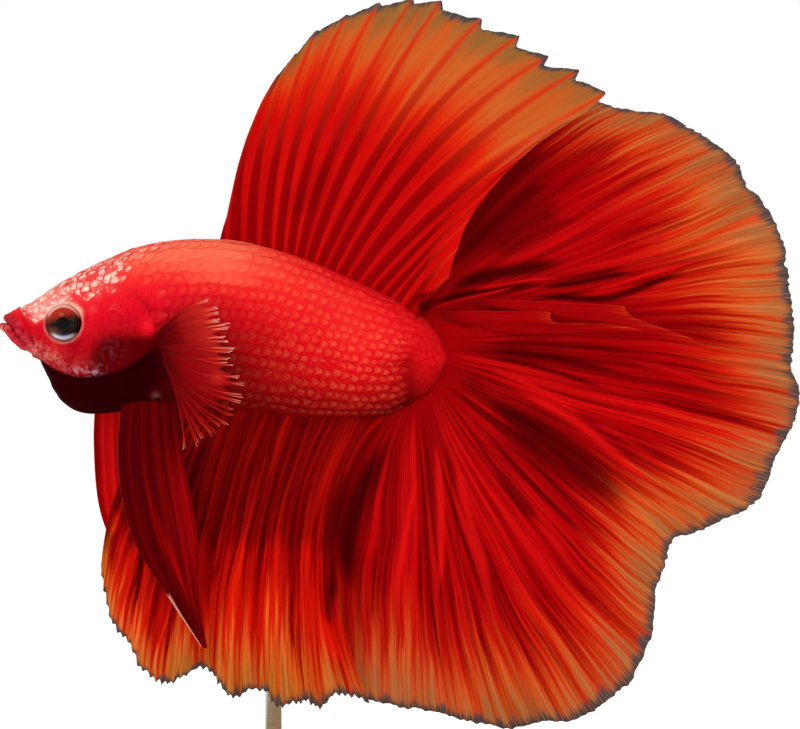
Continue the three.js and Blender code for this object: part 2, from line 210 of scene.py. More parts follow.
def mesh_object(name, points, faces, attributes=(), edges=()):
    """An object at the origin, smooth, from points in millimetres."""
    mesh = bpy.data.meshes.new(name)
    mesh.from_pydata((np.asarray(points) * MM).tolist(), edges, faces)
    for label, values in dict(attributes).items():
        layer = mesh.attributes.new(label, "FLOAT", "POINT")
        layer.data.foreach_set("value", np.asarray(values, np.float32).ravel())
    if faces:
        mesh.shade_smooth()
    made = bpy.data.objects.new(name, mesh)
    bpy.context.scene.collection.objects.link(made)
    return made


def ring_faces(rings, sides):
    """Faces between closed rings of points, with a pole before the first ring and one after the last."""
    ring = np.arange(rings - 1)[:, None] * sides
    here = np.arange(sides)[None, :]
    there = (here + 1) % sides
    walls = np.stack([ring + here, ring + there, ring + there + sides, ring + here + sides], -1)
    first = rings * sides
    last = (rings - 1) * sides
    faces = walls.reshape(-1, 4).tolist()
    faces += [(first, (i + 1) % sides, i) for i in range(sides)]
    faces += [(first + 1, last + i, last + (i + 1) % sides) for i in range(sides)]
    return faces


def lathed(profile, sides, centre=(0, 0), narrower=0):
    """Points and faces turned about an upright axis from (radius, height) pairs, the last two points being
    the poles. An oval is narrower by that much in its second radius."""
    turn = 2 * np.pi * np.arange(sides) / sides
    rings = [
        np.stack([
            centre[0] + radius * np.cos(turn),
            centre[1] + (radius - narrower) * np.sin(turn),
            np.full(sides, height),
        ], -1)
        for radius, height in profile
    ]
    poles = [(*centre, profile[0][1]), (*centre, profile[-1][1])]
    return np.vstack([*rings, poles]), ring_faces(len(profile), sides)


def make_tray():
    """The studio's floor: flat in the middle, rising in a wide curve to a wall all round."""
    flat = 320
    bend = 1100
    rise = 900
    arc = np.linspace(0, np.pi / 2, 40)
    profile = [(radius, 0) for radius in (40, 120, 220)]
    profile += [(flat + bend * np.sin(a), rise * (1 - np.cos(a))) for a in arc]
    points, faces = lathed(profile, 96)
    top = len(points) - 1
    tray = mesh_object("floor", points[:top], [face for face in faces if max(face) < top])
    material, tree, shader = finish_of("pale_floor", specular=0.2)
    cloud = noise_of(tree, place_of(tree), 9.0)
    pale = mix_of(tree, cloud, tint("f4f3f1"), tint("f9f9f8"))
    dress(tree, shader, pale, span_of(tree, cloud, 0.0, 1.0, 0.7, 0.9))
    tree.links.new(pale, shader.inputs["Emission Color"])
    shader.inputs["Emission Strength"].default_value = 0.42
    tray.data.materials.append(material)


make_tray()

world = bpy.data.worlds.new("studio_air")
world.use_nodes = True
world.node_tree.nodes["Background"].inputs["Color"].default_value = tint("f4f6fa")
world.node_tree.nodes["Background"].inputs["Strength"].default_value = 0.5
bpy.context.scene.world = world


# ---- Display stand ----
# An oval foot of light oiled oak with a rounded edge and one routed line, a brushed steel rod pressed
# into it through a turned collar with a set screw, and a small steel cup that holds the fish's flank.

def settle(piece, slot, *nodes):
    """Fixes a finished piece to the model in place of its plain solids."""
    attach(piece, "root")
    if nodes:
        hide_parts(*nodes)


def arc_profile(centre, radius, start, stop, steps=6):
    """Points (across, height) round part of a circle, with angles in degrees."""
    angles = np.radians(np.linspace(start, stop, steps))
    return [(centre[0] + radius * np.cos(a), centre[1] + radius * np.sin(a)) for a in angles]


def oiled_oak():
    """Straight-grained light oak: soft bands, fine dark pores along the grain, a satin oil finish."""
    material, tree, shader = finish_of("oiled_oak", specular=0.35)
    along_grain = put(tree, "ShaderNodeMapping", {"Vector": place_of(tree), "Scale": (9, 130, 130)})
    bands = noise_of(tree, along_grain.outputs[0], 4.0, detail=5.0, roughness=0.55)
    pore_map = put(tree, "ShaderNodeMapping", {"Vector": place_of(tree), "Scale": (220, 3200, 3200)})
    pores = span_of(tree, noise_of(tree, pore_map.outputs[0], 1.0, detail=2.0), 0.62, 0.72)
    wood = ramp_of(tree, bands, [(0.25, "a97f50"), (0.45, "c59c69"), (0.6, "d2ad7c"), (0.8, "b98d5b")])
    colour = mix_of(tree, math_of(tree, "MULTIPLY", pores, 0.55), wood, tint("6f4a28"))
    hollows = bump_of(tree, math_of(tree, "MULTIPLY", pores, -1.0), 0.00008, 0.6)
    dress(tree, shader, colour, span_of(tree, bands, 0.2, 0.8, 0.42, 0.58), hollows)
    return material


def brushed_steel():
    """Steel with fine turning lines that run round the rod."""
    material, tree, shader = finish_of("brushed_steel", metal=1.0)
    round_rod = put(tree, "ShaderNodeMapping", {"Vector": place_of(tree), "Scale": (300, 300, 9000)})
    lines = noise_of(tree, round_rod.outputs[0], 1.0, detail=3.0, roughness=0.7)
    steel = ramp_of(tree, lines, [(0.3, "b4b5b8"), (0.7, "cfcfd0")])
    dress(tree, shader, steel, span_of(tree, lines, 0.2, 0.8, 0.24, 0.4), bump_of(tree, lines, 0.00002, 0.5))
    return material


def make_base(material):
    """The oval foot, from its underside up over the rounded edge to the middle of the top."""
    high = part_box("stand_base")[1]
    half_length = high.x / MM
    half_depth = high.y / MM
    thickness = high.z / MM
    chamfer = 0.35
    top_round = 1.1
    groove_inset = 3.4
    groove_radius = 0.32
    outline = [(16, 0), (8, 0), (chamfer, 0), (0, chamfer), (0, thickness - top_round)]
    outline += arc_profile((top_round, thickness - top_round), top_round, 180, 90)[1:]
    outline += arc_profile((groove_inset, thickness), groove_radius, 180, 360, 9)
    outline += [(inset, thickness) for inset in (6, 10, 14, 17)]
    profile = [(half_length - inset, height) for inset, height in outline]
    base = mesh_object("stand_base_oval", *lathed(profile, 160, narrower=half_length - half_depth))
    base.data.materials.append(material)
    settle(base, "stand_wood", "stand_base")


def make_rod(material):
    """The straight rod with a broken lower edge and a small cup at its upper end."""
    low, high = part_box("stand_rod")
    centre = ((low.x + high.x) / 2 / MM, (low.y + high.y) / 2 / MM)
    radius = (high.x - low.x) / 2 / MM
    foot = low.z / MM - 1.0
    top = high.z / MM
    cup = 1.75
    profile = [(0.3, foot), (radius, foot + 0.2), (radius, top - 6), (radius, top - 2.6)]
    profile += [(radius + 0.12, top - 2.3), (radius + 0.55, top - 1.4), (cup, top - 0.6)]
    profile += [(cup + 0.05, top - 0.3), (cup - 0.1, top + 0.1), (0.6, top + 0.1)]
    rod = mesh_object("stand_rod_steel", *lathed(profile, 40, centre))
    rod.data.materials.append(material)
    settle(rod, "stand_steel", "stand_rod")
    return centre


def make_collar(material, centre):
    """The turned collar round the rod's foot, with a hollowed set screw in its side."""
    low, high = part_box("stand_collar")
    radius = (high.x - low.x) / 2 / MM
    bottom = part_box("stand_base")[1].z / MM
    top = high.z / MM
    edge = 0.22
    profile = [(0.4, bottom), (radius + 0.5, bottom), (radius + 0.5, bottom + 0.35)]
    profile += [(radius, bottom + 0.6), (radius, top - edge), (radius - edge, top), (0.9, top)]
    points, faces = lathed(profile, 64, centre)
    screw, screw_faces = lathed([
        (0.05, -0.3), (0.42, -0.3), (0.42, 0.1), (0.34, 0.16), (0.22, 0.16), (0.2, -0.12), (0.05, -0.12),
    ], 24)
    middle = (bottom + top) / 2 + 0.15
    turned = np.stack([centre[0] + screw[:, 0], centre[1] - radius - screw[:, 2], middle + screw[:, 1]], -1)
    faces += [tuple(len(points) + i for i in face) for face in screw_faces]
    collar = mesh_object("stand_collar_steel", np.vstack([points, turned]), faces)
    collar.data.materials.append(material)
    settle(collar, "stand_steel", "stand_collar")


steel = brushed_steel()
make_base(oiled_oak())
make_collar(steel, make_rod(steel))


# ---- Skin ----
# One unbroken skin over the whole fish, from the lips to the tail base, of moist flesh under thin scales.
# It is drawn section by section from the back, belly and half-width lines, then raised and creased
# for lips, nostrils, eye sockets, cheeks, gill covers, throat and lateral line.

COAT_DEPTH = 0.12  # the scales lie in this much of the model's surface
SNOUT_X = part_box("lower_jaw")[0].x / MM
TAIL_BASE_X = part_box("tail_base")[1].x / MM

BACK = [
    (-39.9, 52.2), (-39.6, 52.7), (-39.35, 53.15), (-38.9, 53.65), (-38.2, 53.98), (-37.2, 54.4),
    (-34.1, 56.4), (-28.8, 59.1), (-24.7, 60.4), (-18.2, 60.8), (-11.2, 59.3), (-3.4, 56.1),
    (0.9, 54.1), (3.4, 52.1), (4.7, 49.2),
]
BELLY = [
    (-39.9, 51.9), (-39.6, 51.35), (-39.1, 50.75), (-38, 49.85), (-36.5, 48.9), (-35.4, 47.3),
    (-34.4, 45.2), (-33.2, 43.9), (-31.3, 43.2), (-26, 43.5), (-15, 43.6), (-8, 42.9), (-1.4, 43.1),
    (1.6, 44.5), (3.6, 46.2), (4.7, 48.6),
]
HALF_WIDTH = [
    (-39.9, 0.45), (-39.3, 1.35), (-37.6, 2.2), (-34, 3.35), (-30, 4.2), (-25, 4.65),
    (-18, 4.4), (-10, 3.7), (-3, 2.5), (1, 1.6), (3.6, 0.95), (4.7, 0.35),
]


def smooth_curve(knots, steps=24):
    """Points along the smooth line through knots."""
    knots = np.array(knots, float)
    drawn = np.vstack([2 * knots[0] - knots[1], knots, 2 * knots[-1] - knots[-2]])
    gaps = np.sqrt(np.linalg.norm(np.diff(drawn, axis=0), axis=1))
    t = np.linspace(0, 1, steps, endpoint=False)[:, None]
    spans = []
    for i in range(len(knots) - 1):
        before, start, stop, after = drawn[i:i + 4]
        g0, g1, g2 = gaps[i:i + 3]
        leave = g1 * ((start - before) / g0 - (stop - before) / (g0 + g1)) + stop - start
        arrive = g1 * ((after - stop) / g2 - (after - start) / (g1 + g2)) + stop - start
        square = 3 * (stop - start) - 2 * leave - arrive
        cube = 2 * (start - stop) + leave + arrive
        spans.append(start + leave * t + square * t ** 2 + cube * t ** 3)
    return np.vstack([*spans, knots[-1:]])


def smooth_value(knots):
    """A smooth function of the first number of each pair."""
    curve = smooth_curve(knots)
    return lambda x: np.interp(x, curve[:, 0], curve[:, 1])


def ease(low, high, value):
    """0 below low, 1 above high and smooth between; low may be the larger."""
    t = np.clip((value - low) / (high - low), 0, 1)
    return t * t * (3 - 2 * t)


def hump(distance, width):
    """1 at no distance, falling off smoothly over the width."""
    return np.exp(-(distance / width) ** 2)


def spot(x, z, middle, radius):
    """A soft round spot about a place seen from the side."""
    return hump(np.hypot(x - middle[0], z - middle[1]), radius)


def from_line(knots, x, z):
    """Distance from points to a smooth line seen from the side, the share along it, and signed side."""
    curve = smooth_curve(knots, 8)
    nearest = np.full(np.shape(x), 1e9)
    share = np.zeros(np.shape(x))
    side = np.zeros(np.shape(x))
    steps = len(curve) - 1
    for i in range(steps):
        start = curve[i]
        run = curve[i + 1] - start
        t = np.clip(((x - start[0]) * run[0] + (z - start[1]) * run[1]) / (run @ run), 0, 1)
        away_x = x - start[0] - t * run[0]
        away_z = z - start[1] - t * run[1]
        distance = np.hypot(away_x, away_z)
        closer = distance < nearest
        nearest = np.where(closer, distance, nearest)
        share = np.where(closer, (i + t) / steps, share)
        side = np.where(closer, np.sign(run[0] * away_z - run[1] * away_x), side)
    return nearest, share, side


back_height = smooth_value(BACK)
belly_height = smooth_value(BELLY)
half_width = smooth_value(HALF_WIDTH)


def body_place(along, turn, margin=0.0):
    """A point on the plain body: along runs from snout to tail base, turn runs round from the back."""
    x = SNOUT_X + (TAIL_BASE_X - SNOUT_X) * along
    middle = (back_height(x) + belly_height(x)) / 2
    half = (back_height(x) - belly_height(x)) / 2 + margin
    wide = np.maximum(half_width(x) + margin, 0.15)
    rise = np.cos(turn)
    across = np.sign(np.sin(turn)) * np.abs(np.sin(turn)) ** 0.92
    return np.stack([x, wide * across * (1 - 0.1 * rise), middle + rise * half], -1)


def body_lie(along, turn):
    """The directions at a point on the body: towards the tail, round the body, and straight out."""
    step = 0.004
    ahead = body_place(np.clip(along + step, 0, 1), turn) - body_place(np.clip(along - step, 0, 1), turn)
    round_body = body_place(along, turn + step) - body_place(along, turn - step)
    out = np.cross(ahead, round_body)
    tailward = ahead / np.linalg.norm(ahead, axis=-1, keepdims=True)
    outward = out / np.linalg.norm(out, axis=-1, keepdims=True)
    return tailward, np.cross(outward, tailward), outward


eye_low, eye_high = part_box("eye_left")
EYE_X = (eye_low.x + eye_high.x) / 2 / MM + 0.3
EYE_Z = (eye_low.z + eye_high.z) / 2 / MM
EYE_RADIUS = (eye_high.z - eye_low.z) / 2 / MM
EYE_SIDE = -(eye_low.y + eye_high.y) / 2 / MM
EYE_OPENING = 1.74

# Lines of the head seen from the side, in millimetres.
MOUTH_SLIT = [(-40.1, 52.6), (-39.4, 52.45), (-38.8, 52.1), (-38.2, 51.2), (-37.6, 50.5), (-36.9, 50.1)]
LIP_FOLD = [(-37.9, 54.3), (-37.6, 53.2), (-37.1, 52), (-36.6, 51.1), (-36.3, 50.3)]
LOWER_LIP_EDGE = [(-40, 51.7), (-39.4, 51.2), (-38.2, 50.2), (-36.8, 49.5)]
JAW_EDGE = [
    (-37, 49.2), (-35.9, 48.8), (-34.6, 48.1), (-33.4, 47.5),
    (-31.6, 47.1), (-29.4, 47.3), (-27.4, 47.8), (-25.9, 48.7),
]
GILL_EDGE = [
    (-28.6, 56), (-26.8, 55.4), (-25.2, 54), (-24.2, 52.1), (-24.5, 50.2), (-25.9, 48.5), (-28, 47.5),
]
CHEEK_RIDGE = [(-29.6, 55), (-29.2, 52.6), (-29.9, 50.4), (-31.8, 48.9), (-34.2, 48.4)]
LATERAL_LINE = [(-23.5, 51.6), (-19, 50.2), (-15, 49.3), (-8, 48.7), (-1, 48.2), (3, 48.5)]
NOSTRILS = [(-36.9, 53.1), (-36.35, 52.45)]
CREAM_EDGE = [
    (-39.4, 54.3), (-38.2, 53.7), (-37.2, 53), (-36.3, 52.3), (-35.7, 52.4), (-34.8, 53.4),
    (-33, 54.3), (-31.2, 54.3), (-29.8, 54.9), (-28.4, 56.6), (-26.6, 58.4), (-23, 60), (-18, 61.6),
]


def skin_relief(x, y, z):
    """How far the skin stands off the plain body, in millimetres."""
    slit, share, _ = from_line(MOUTH_SLIT, x, z)
    mouth = ease(1.0, 0.82, share)
    relief = mouth * (0.26 * hump(slit - 0.5, 0.34) - 0.4 * hump(slit, 0.09))
    fold, _, _ = from_line(LIP_FOLD, x, z)
    relief += 0.10 * hump(fold - 0.32, 0.2) - 0.2 * hump(fold, 0.1)
    relief += 0.018 * np.sin(2 * np.pi * fold / 0.26) * ease(1.2, 0.7, slit) * (x < -36.3)
    lip_edge, _, _ = from_line(LOWER_LIP_EDGE, x, z)
    relief -= 0.12 * hump(lip_edge, 0.12)
    for nostril_x, nostril_z in NOSTRILS:
        away = np.hypot(x - nostril_x, z - nostril_z)
        relief += 0.12 * hump(away - 0.2, 0.1) - 0.18 * hump(away, 0.1)
    eye = np.hypot(x - EYE_X, z - EYE_Z)
    relief += 0.2 * hump(eye - 1.98, 0.19) - 0.04 * hump(eye - 2.6, 0.2)
    relief -= 1.5 * ease(EYE_OPENING + 0.12, EYE_OPENING - 0.12, eye)
    edge, share, side = from_line(GILL_EDGE, x, z)
    inside = -side * edge
    near_gill = ease(0.0, 0.1, share) * ease(1.0, 0.9, share)
    flap = 0.26 * ease(-0.25, 0.2, inside) * np.exp(-np.maximum(inside, 0) / 2.2)
    relief += near_gill * (0.4 + 0.6 * ease(0.2, 0.45, share)) * (flap - 0.2 * hump(inside + 0.3, 0.3))
    jaw, share, side = from_line(JAW_EDGE, x, z)
    above = side * jaw
    under_jaw = ease(0.0, 0.08, share) * ease(1.0, 0.9, share)
    relief += under_jaw * (0.3 * ease(-0.1, 0.12, above) * np.exp(-np.maximum(above, 0) / 1.4))
    relief -= under_jaw * 0.16 * hump(above + 0.22, 0.25)
    throat = ease(0.2, 0.7, -above) * ease(-26, -29, x)
    relief += throat * 0.02 * np.sin(2 * np.pi * jaw / 0.85)
    ridge, _, side = from_line(CHEEK_RIDGE, x, z)
    relief += 0.08 * hump(ridge, 0.35) - 0.05 * hump(side * ridge - 0.7, 0.3)
    lateral, _, _ = from_line(LATERAL_LINE, x, z)
    relief -= 0.07 * hump(lateral, 0.3)
    dorsal_root = ease(-18.8, -17.4, x) * ease(2, 0, x) * (z > 52)
    anal_root = ease(-22.2, -20.8, x) * ease(0.5, -2, x) * (z < 47)
    relief += (dorsal_root + anal_root) * 0.14 * hump(y, 0.8)
    return relief


# How light the red is at the belly, along the middle of the flank and at the back, by place along the body:
# the fish's own paler back and darker belly together with painted light from above and painted shade
# underneath.
BELLY_LIGHT = smooth_value([
    (-40, 0.3), (-32, 0), (-26, -0.15), (-22, -0.05), (-16, 0.12),
    (-10, 0.17), (-3, 0.14), (2, 0.12), (5, 0.15),
])
FLANK_LIGHT = smooth_value([
    (-40, 0.55), (-34, 0.42), (-30, 0.37), (-26, 0.33), (-22, 0.33),
    (-16, 0.46), (-10, 0.57), (-3, 0.65), (2, 0.44), (5, 0.38),
])
BACK_LIGHT = smooth_value([
    (-40, 0.7), (-34, 0.85), (-30, 0.95), (-26, 1.16), (-20, 1.3),
    (-15, 1.08), (-9, 0.8), (-3, 0.62), (1, 0.48), (5, 0.4),
])


def fish_marks(x, z):
    """Where each marking lies, 0 to 1, at points seen from the side."""
    slit, _, _ = from_line(MOUTH_SLIT, x, z)
    jaw, _, jaw_side = from_line(JAW_EDGE, x, z)
    gill, gill_share, gill_side = from_line(GILL_EDGE, x, z)
    above_jaw = jaw * jaw_side
    eye = np.hypot(x - EYE_X, z - EYE_Z)
    height = np.clip((z - belly_height(x)) / (back_height(x) - belly_height(x)), 0, 1)

    # how light the red is: partly the fish's own colour, partly painted light on the back and painted shade
    # below, with painted shade under the gill cover and at the fins' roots
    light = BELLY_LIGHT(x) * (1 - height) * (1 - 2 * height)
    light += FLANK_LIGHT(x) * 4 * height * (1 - height) + BACK_LIGHT(x) * height * (2 * height - 1)
    light -= 0.74 * ease(51.9, 48.4, z) * ease(-31.2, -28, x) * ease(-22.8, -24.8, x)
    light += 0.3 * spot(x, z, (-24.8, 51.9), 0.9)
    light += 0.14 * hump(z - 57, 0.9) * hump(x + 18.5, 3)
    light -= 0.12 * ease(0.84, 1, height) * ease(-18, -15.5, x)
    tail_end = 0.08 * ease(-6, -1.5, x) + 0.06 * ease(-1.2, 0.4, x) - 0.22 * ease(0.6, 2.6, x)
    light -= tail_end * ease(50.5, 48.5, z)
    light -= 0.12 * spot(x, z, (-32.4, 50.6), 1)

    # the cream of forehead, eyelid and chin, a painted highlight at the front of the lower lip, and a violet
    # sheen on the jaw
    nape = z - smooth_value(CREAM_EDGE)(x)
    fading = (1.3 - 0.35 * ease(-35.5, -31, x)) * (1 - 0.6 * ease(-29, -26, x)) * ease(-18, -23, x)
    cream = ease(-0.5, 0.8, nape) * ease(-38.6, -37.6, x) * fading
    patch = np.maximum(spot(x, z, (-29.95, 55.1), 0.5), spot(x, z, (-28.5, 55.8), 0.55))
    patch = np.maximum(patch, 0.8 * spot(x, z, (-30.4, 53.7), 0.4))
    over_eye = ease(0.2, 1.5, z - EYE_Z)
    lid = hump(eye - 1.92 - 0.08 * over_eye, 0.12 + 0.14 * over_eye) * (0.25 + 0.75 * over_eye)
    chin = ease(-37.6, -36, x) * ease(-29.4, -31.8, x) * ease(-0.2, 0.2, above_jaw)
    chin = 0.8 * chin * hump(np.maximum(above_jaw - 0.5, 0), 0.9)
    # a pale painted highlight at the front of the lower lip
    chin = np.maximum(chin, 0.9 * spot(x, z, (-39.6, 51.9), 0.5))
    violet = 0.7 * hump(above_jaw - 0.3, 0.45) * ease(-33.6, -32, x) * ease(-28.6, -30.2, x)
    violet = np.maximum(violet, 0.06 * spot(x, z, (-28.4, 49.6), 1.1))
    violet = np.maximum(violet, 0.08 * spot(x, z, (-28.2, 53.9), 0.7))

    # the throat, dark of itself and with painted shade, painted shadow in the gill crevice, the hollow
    # behind the gill cover and the mouth corner, and the small pale vent with a red spot under it
    vent_pale = (-24.2, 45.1)
    vent_red = (-23.9, 44.2)
    vent = np.maximum(0.9 * spot(x, z, vent_pale, 0.55), spot(x, z, vent_red, 0.4))
    throat = ease(-0.1, 0.25, -above_jaw) * ease(-20.5, -25.5, x) * (z < 50)
    crevice = hump(gill_side * gill - 0.25, 0.3) * ease(0.1, 0.3, gill_share) * ease(1, 0.95, gill_share)
    hollow = 0.7 * hump(np.hypot(x + 25, (z - 48.2) * 0.8), 1.1)
    corner = 0.2 * spot(x, z, (-37.6, 51.1), 0.7)
    dark = (throat + 0.22 * crevice + 0.6 * hollow) * (1 - vent) + spot(x, z, (-24.1, 44.7), 0.3) + corner

    # how clearly each scale shows
    lower_flank = ease(-17, -7, x) * ease(0.95, 0.62, height) * (0.35 + 0.65 * ease(0.05, 0.3, height))
    front_back = ease(0.55, 0.85, height) * ease(-4, -12, x)
    scaly = 0.12 + 0.42 * lower_flank + 0.32 * front_back
    return {
        "light": light,
        "lip": np.maximum(1 - ease(0.8, 1.15, slit), spot(x, z, vent_red, 0.35)),
        "cream": np.maximum(cream, 1.1 * patch),
        "lid": np.maximum(lid, 0.1 * spot(x, z, vent_pale, 0.42)),
        "chin": chin,
        "violet": violet,
        "dark": np.clip(dark, 0, 1),
        "scaly": scaly * ease(0.6 + 1.2 * ease(49, 51, z), -2.4, x),
        "rosy": ease(-12, -26, x) * (1 - ease(0.6, 0.95, height) * ease(-30, -26, x)),
    }


def group_of(name, kind, inputs, outputs):
    """A new node group with its named inputs and outputs."""
    group = bpy.data.node_groups.new(name, kind)
    for way, sockets in (("INPUT", inputs), ("OUTPUT", outputs)):
        for label, value in sockets.items():
            group.interface.new_socket(label, in_out=way, socket_type="NodeSocket" + value)
    return group


def markings_group():
    """The colours of the body, shared by the skin and the scales over it."""
    group = group_of("betta_markings", "ShaderNodeTree", {}, {"Colour": "Color"})
    place = place_of(group)
    broad = noise_of(group, place, 350.0, detail=2.0)
    fine = noise_of(group, place, 2300.0, detail=3.0)
    level = nudged_of(group, attribute_of(group, "light"), broad, 0.14)
    colour = ramp_of(group, level, [
        (0.0, "580104"), (0.15, "720307"), (0.27, "920409"), (0.38, "ac040c"), (0.52, "cd0614"),
        (0.66, "e4161e"), (0.79, "ee2e28"), (0.9, "f54e3c"), (1.0, "fa6c50"),
    ])
    mottle = span_of(group, fine, 0.35, 0.65)

    # uneven pale cells with soft borders, for the forehead
    swirl = put(group, "ShaderNodeTexNoise", {"Vector": place, "Scale": 2600.0, "Detail": 2.0})
    pushed = put(group, "ShaderNodeVectorMath", {
        0: swirl.outputs["Color"], 1: (0.0006,) * 3, 2: place,
    }, operation="MULTIPLY_ADD")
    cell_size = {"Vector": pushed.outputs[0], "Scale": 1380.0}
    border = put(group, "ShaderNodeTexVoronoi", cell_size, feature="DISTANCE_TO_EDGE").outputs["Distance"]
    cell = put(group, "ShaderNodeTexVoronoi", cell_size).outputs["Color"]
    cell_shade = put(group, "ShaderNodeSeparateXYZ", {0: cell}).outputs[0]
    inside = product_of(group, span_of(group, border, 0.0, 0.22), span_of(group, fine, 0.32, 0.55, 0.5, 1.0))
    cream = attribute_of(group, "cream")
    inside = math_of(group, "MAXIMUM", inside, span_of(group, cream, 1.0, 1.35, 0.0, 0.4))
    pale_cell = span_of(group, math_of(group, "SUBTRACT", cream, cell_shade), 0.0, 0.6, 0.0, 0.95)

    glow = span_of(group, level, 0.05, 0.55)
    lips = mix_of(group, mottle, tint("a00c1c"), tint("c8303c"))
    chin = mix_of(group, span_of(group, broad, 0.4, 0.6), tint("b03a38"), tint("dc8478"))

    def patchy(label, *span):
        """A marking broken up by fine noise."""
        return product_of(group, attribute_of(group, label), span_of(group, fine, *span))

    for share, layer in (
        (product_of(group, mottle, glow, 0.08), tint("ff4a35")),
        (product_of(group, attribute_of(group, "rosy"), glow, 0.09), tint("fa0850")),
        (attribute_of(group, "lip"), lips),
        (patchy("chin", 0.38, 0.62, 0.1, 0.75), chin),
        (patchy("violet", 0.45, 0.6), tint("b07890")),
        (product_of(group, cream, 0.6), tint("e6484a")),
        (product_of(group, inside, pale_cell), tint("f8d0bc")),
        (patchy("lid", 0.3, 0.5, 0.6, 0.95), tint("f0c2ae")),
        # painted shade of the throat, gill crevice, hollow behind the gill cover and mouth corner; the
        # throat is also dark of itself, and the vent's dark spot is its own colour
        (attribute_of(group, "dark"), tint("280003")),
    ):
        colour = mix_of(group, share, colour, layer)
    put(group, "NodeGroupOutput", {"Colour": colour})
    return group


betta_markings = markings_group()


def skin_material():
    """Moist flesh: the body's colours with fine pores."""
    material, tree, shader = finish_of("moist_skin", specular=0.02)
    shader.inputs["Specular Tint"].default_value = tint("ff4a50")
    colour = put(tree, "ShaderNodeGroup", node_tree=betta_markings).outputs["Colour"]
    pores = noise_of(tree, place_of(tree), 4200.0, detail=2.0)
    damp = span_of(tree, pores, 0.3, 0.7, 0.36, 0.52)
    dull = math_of(tree, "MULTIPLY_ADD", attribute_of(tree, "dark"), 0.45, damp)
    dress(tree, shader, colour, dull, bump_of(tree, pores, 0.00005, 0.5))
    return material


def skin_place(along, turn):
    """A point on the finished skin."""
    plain = body_place(along, turn, -COAT_DEPTH)
    relief = skin_relief(plain[..., 0], plain[..., 1], plain[..., 2])
    return plain + relief[..., None] * body_lie(along, turn)[2]


def crowded(turn):
    """Turns round the body, moved closer together on the flanks."""
    return turn + 0.16 * np.sin(2 * turn)


def make_skin():
    """The skin, with its rings closer together towards the head."""
    rings = 410
    sides = 216
    share = np.arange(1, rings + 1) / (rings + 1)
    along = ((1 - np.cos(np.pi * share)) / 2 * 0.75 + 0.25 * share) ** 1.3
    turn = crowded(2 * np.pi * np.arange(sides) / sides)
    along_grid, turn_grid = np.meshgrid(along, turn, indexing="ij")
    points = skin_place(along_grid, turn_grid).reshape(-1, 3)
    poles = [(x, 0, (back_height(x) + belly_height(x)) / 2) for x in (SNOUT_X, TAIL_BASE_X)]
    points = np.vstack([points, poles])
    faces = ring_faces(rings, sides)
    skin = mesh_object("skin", points, faces, fish_marks(points[:, 0], points[:, 2]))
    u = np.append(np.tile(turn / (2 * np.pi), rings), [0.5, 0.5])
    v = np.append(np.repeat(along, sides), [0, 1])
    layer = skin.data.uv_layers.new(name="OFBake")
    corners = np.array([corner for face in skin.data.polygons for corner in face.vertices])
    starts = np.array([face.loop_start for face in skin.data.polygons])
    counts = np.array([face.loop_total for face in skin.data.polygons])
    face_u = u[corners]
    highest = np.repeat(np.maximum.reduceat(face_u, starts), counts)
    face_u = np.where((highest > 0.8) & (face_u < 0.2), face_u + 1, face_u) / 1.01
    layer.data.foreach_set("uv", np.stack([face_u, v[corners]], -1).astype(np.float32).ravel())
    skin.data.materials.append(skin_material())
    settle(
        skin, "skin", "head", "upper_jaw", "lower_jaw", "throat",
        "gill_cover_left", "gill_cover_right", "trunk", "tail_base",
    )


make_skin()


# ---- Eyes ----
# A wet glassy ball in each socket: black pupil, brown iris that reddens above and turns gold below,
# and a painted reflection, a blue-white crescent, along its lower edge, all under a clear cornea.

def eye_material():
    """Colours by distance from the eye's axis, under a clear glossy coat."""
    material, tree, shader = finish_of("wet_eye", specular=0.05, coat=0.08)
    place = put(tree, "ShaderNodeMapping", {"Vector": place_of(tree), "Scale": (1 / MM,) * 3})
    parts = put(tree, "ShaderNodeSeparateXYZ", {0: place.outputs[0]}).outputs
    across = math_of(tree, "SUBTRACT", parts[0], EYE_X)
    up = math_of(tree, "SUBTRACT", parts[2], EYE_Z)
    square = math_of(tree, "ADD", math_of(tree, "POWER", across, 2.0), math_of(tree, "POWER", up, 2.0))
    away = math_of(tree, "SQRT", square)
    fibres = noise_of(tree, place.outputs[0], 3.2, detail=4.0)
    slant = math_of(tree, "MULTIPLY_ADD", across, -0.25, up)
    upper = span_of(tree, math_of(tree, "MULTIPLY_ADD", fibres, 0.4, slant), 0.25, 1.5)
    iris = mix_of(tree, upper, tint("120403"), tint("b02c18"))
    gold = product_of(tree, span_of(tree, across, 0.2, -1.3), span_of(tree, up, -0.1, -1.1))
    iris = mix_of(tree, gold, iris, tint("6e4420"))
    arcs = math_of(tree, "SINE", math_of(tree, "MULTIPLY", away, 26.0))
    arc_share = product_of(tree, span_of(tree, across, 0.3, 1.2), span_of(tree, arcs, 0.3, 1.0, 0.0, 0.12))
    iris = mix_of(tree, arc_share, iris, tint("a08070"))
    # a painted reflection: a blue-white crescent along the iris's lower edge
    painted_reflection_share = product_of(tree, span_of(tree, away, 0.95, 1.35), span_of(tree, up, -0.85, -1.35))
    painted_reflection_tint = mix_of(tree, span_of(tree, away, 1.15, 1.5), tint("486890"), tint("d8e2f0"))
    iris = mix_of(tree, painted_reflection_share, iris, painted_reflection_tint)
    wobble = math_of(tree, "MULTIPLY_ADD", fibres, 0.3, away)
    colour = mix_of(tree, span_of(tree, wobble, 0.65, 1.0), tint("020101"), iris)
    colour = mix_of(tree, span_of(tree, away, 1.6, 1.8, 0.0, 0.8), colour, tint("8a3428"))
    upper_lid = product_of(tree, span_of(tree, away, 1.5, 1.66), span_of(tree, up, 0.4, 1.1))
    colour = mix_of(tree, upper_lid, colour, tint("eaa898"))
    dress(tree, shader, colour, span_of(tree, fibres, 0.2, 0.8, 0.12, 0.2))
    return material


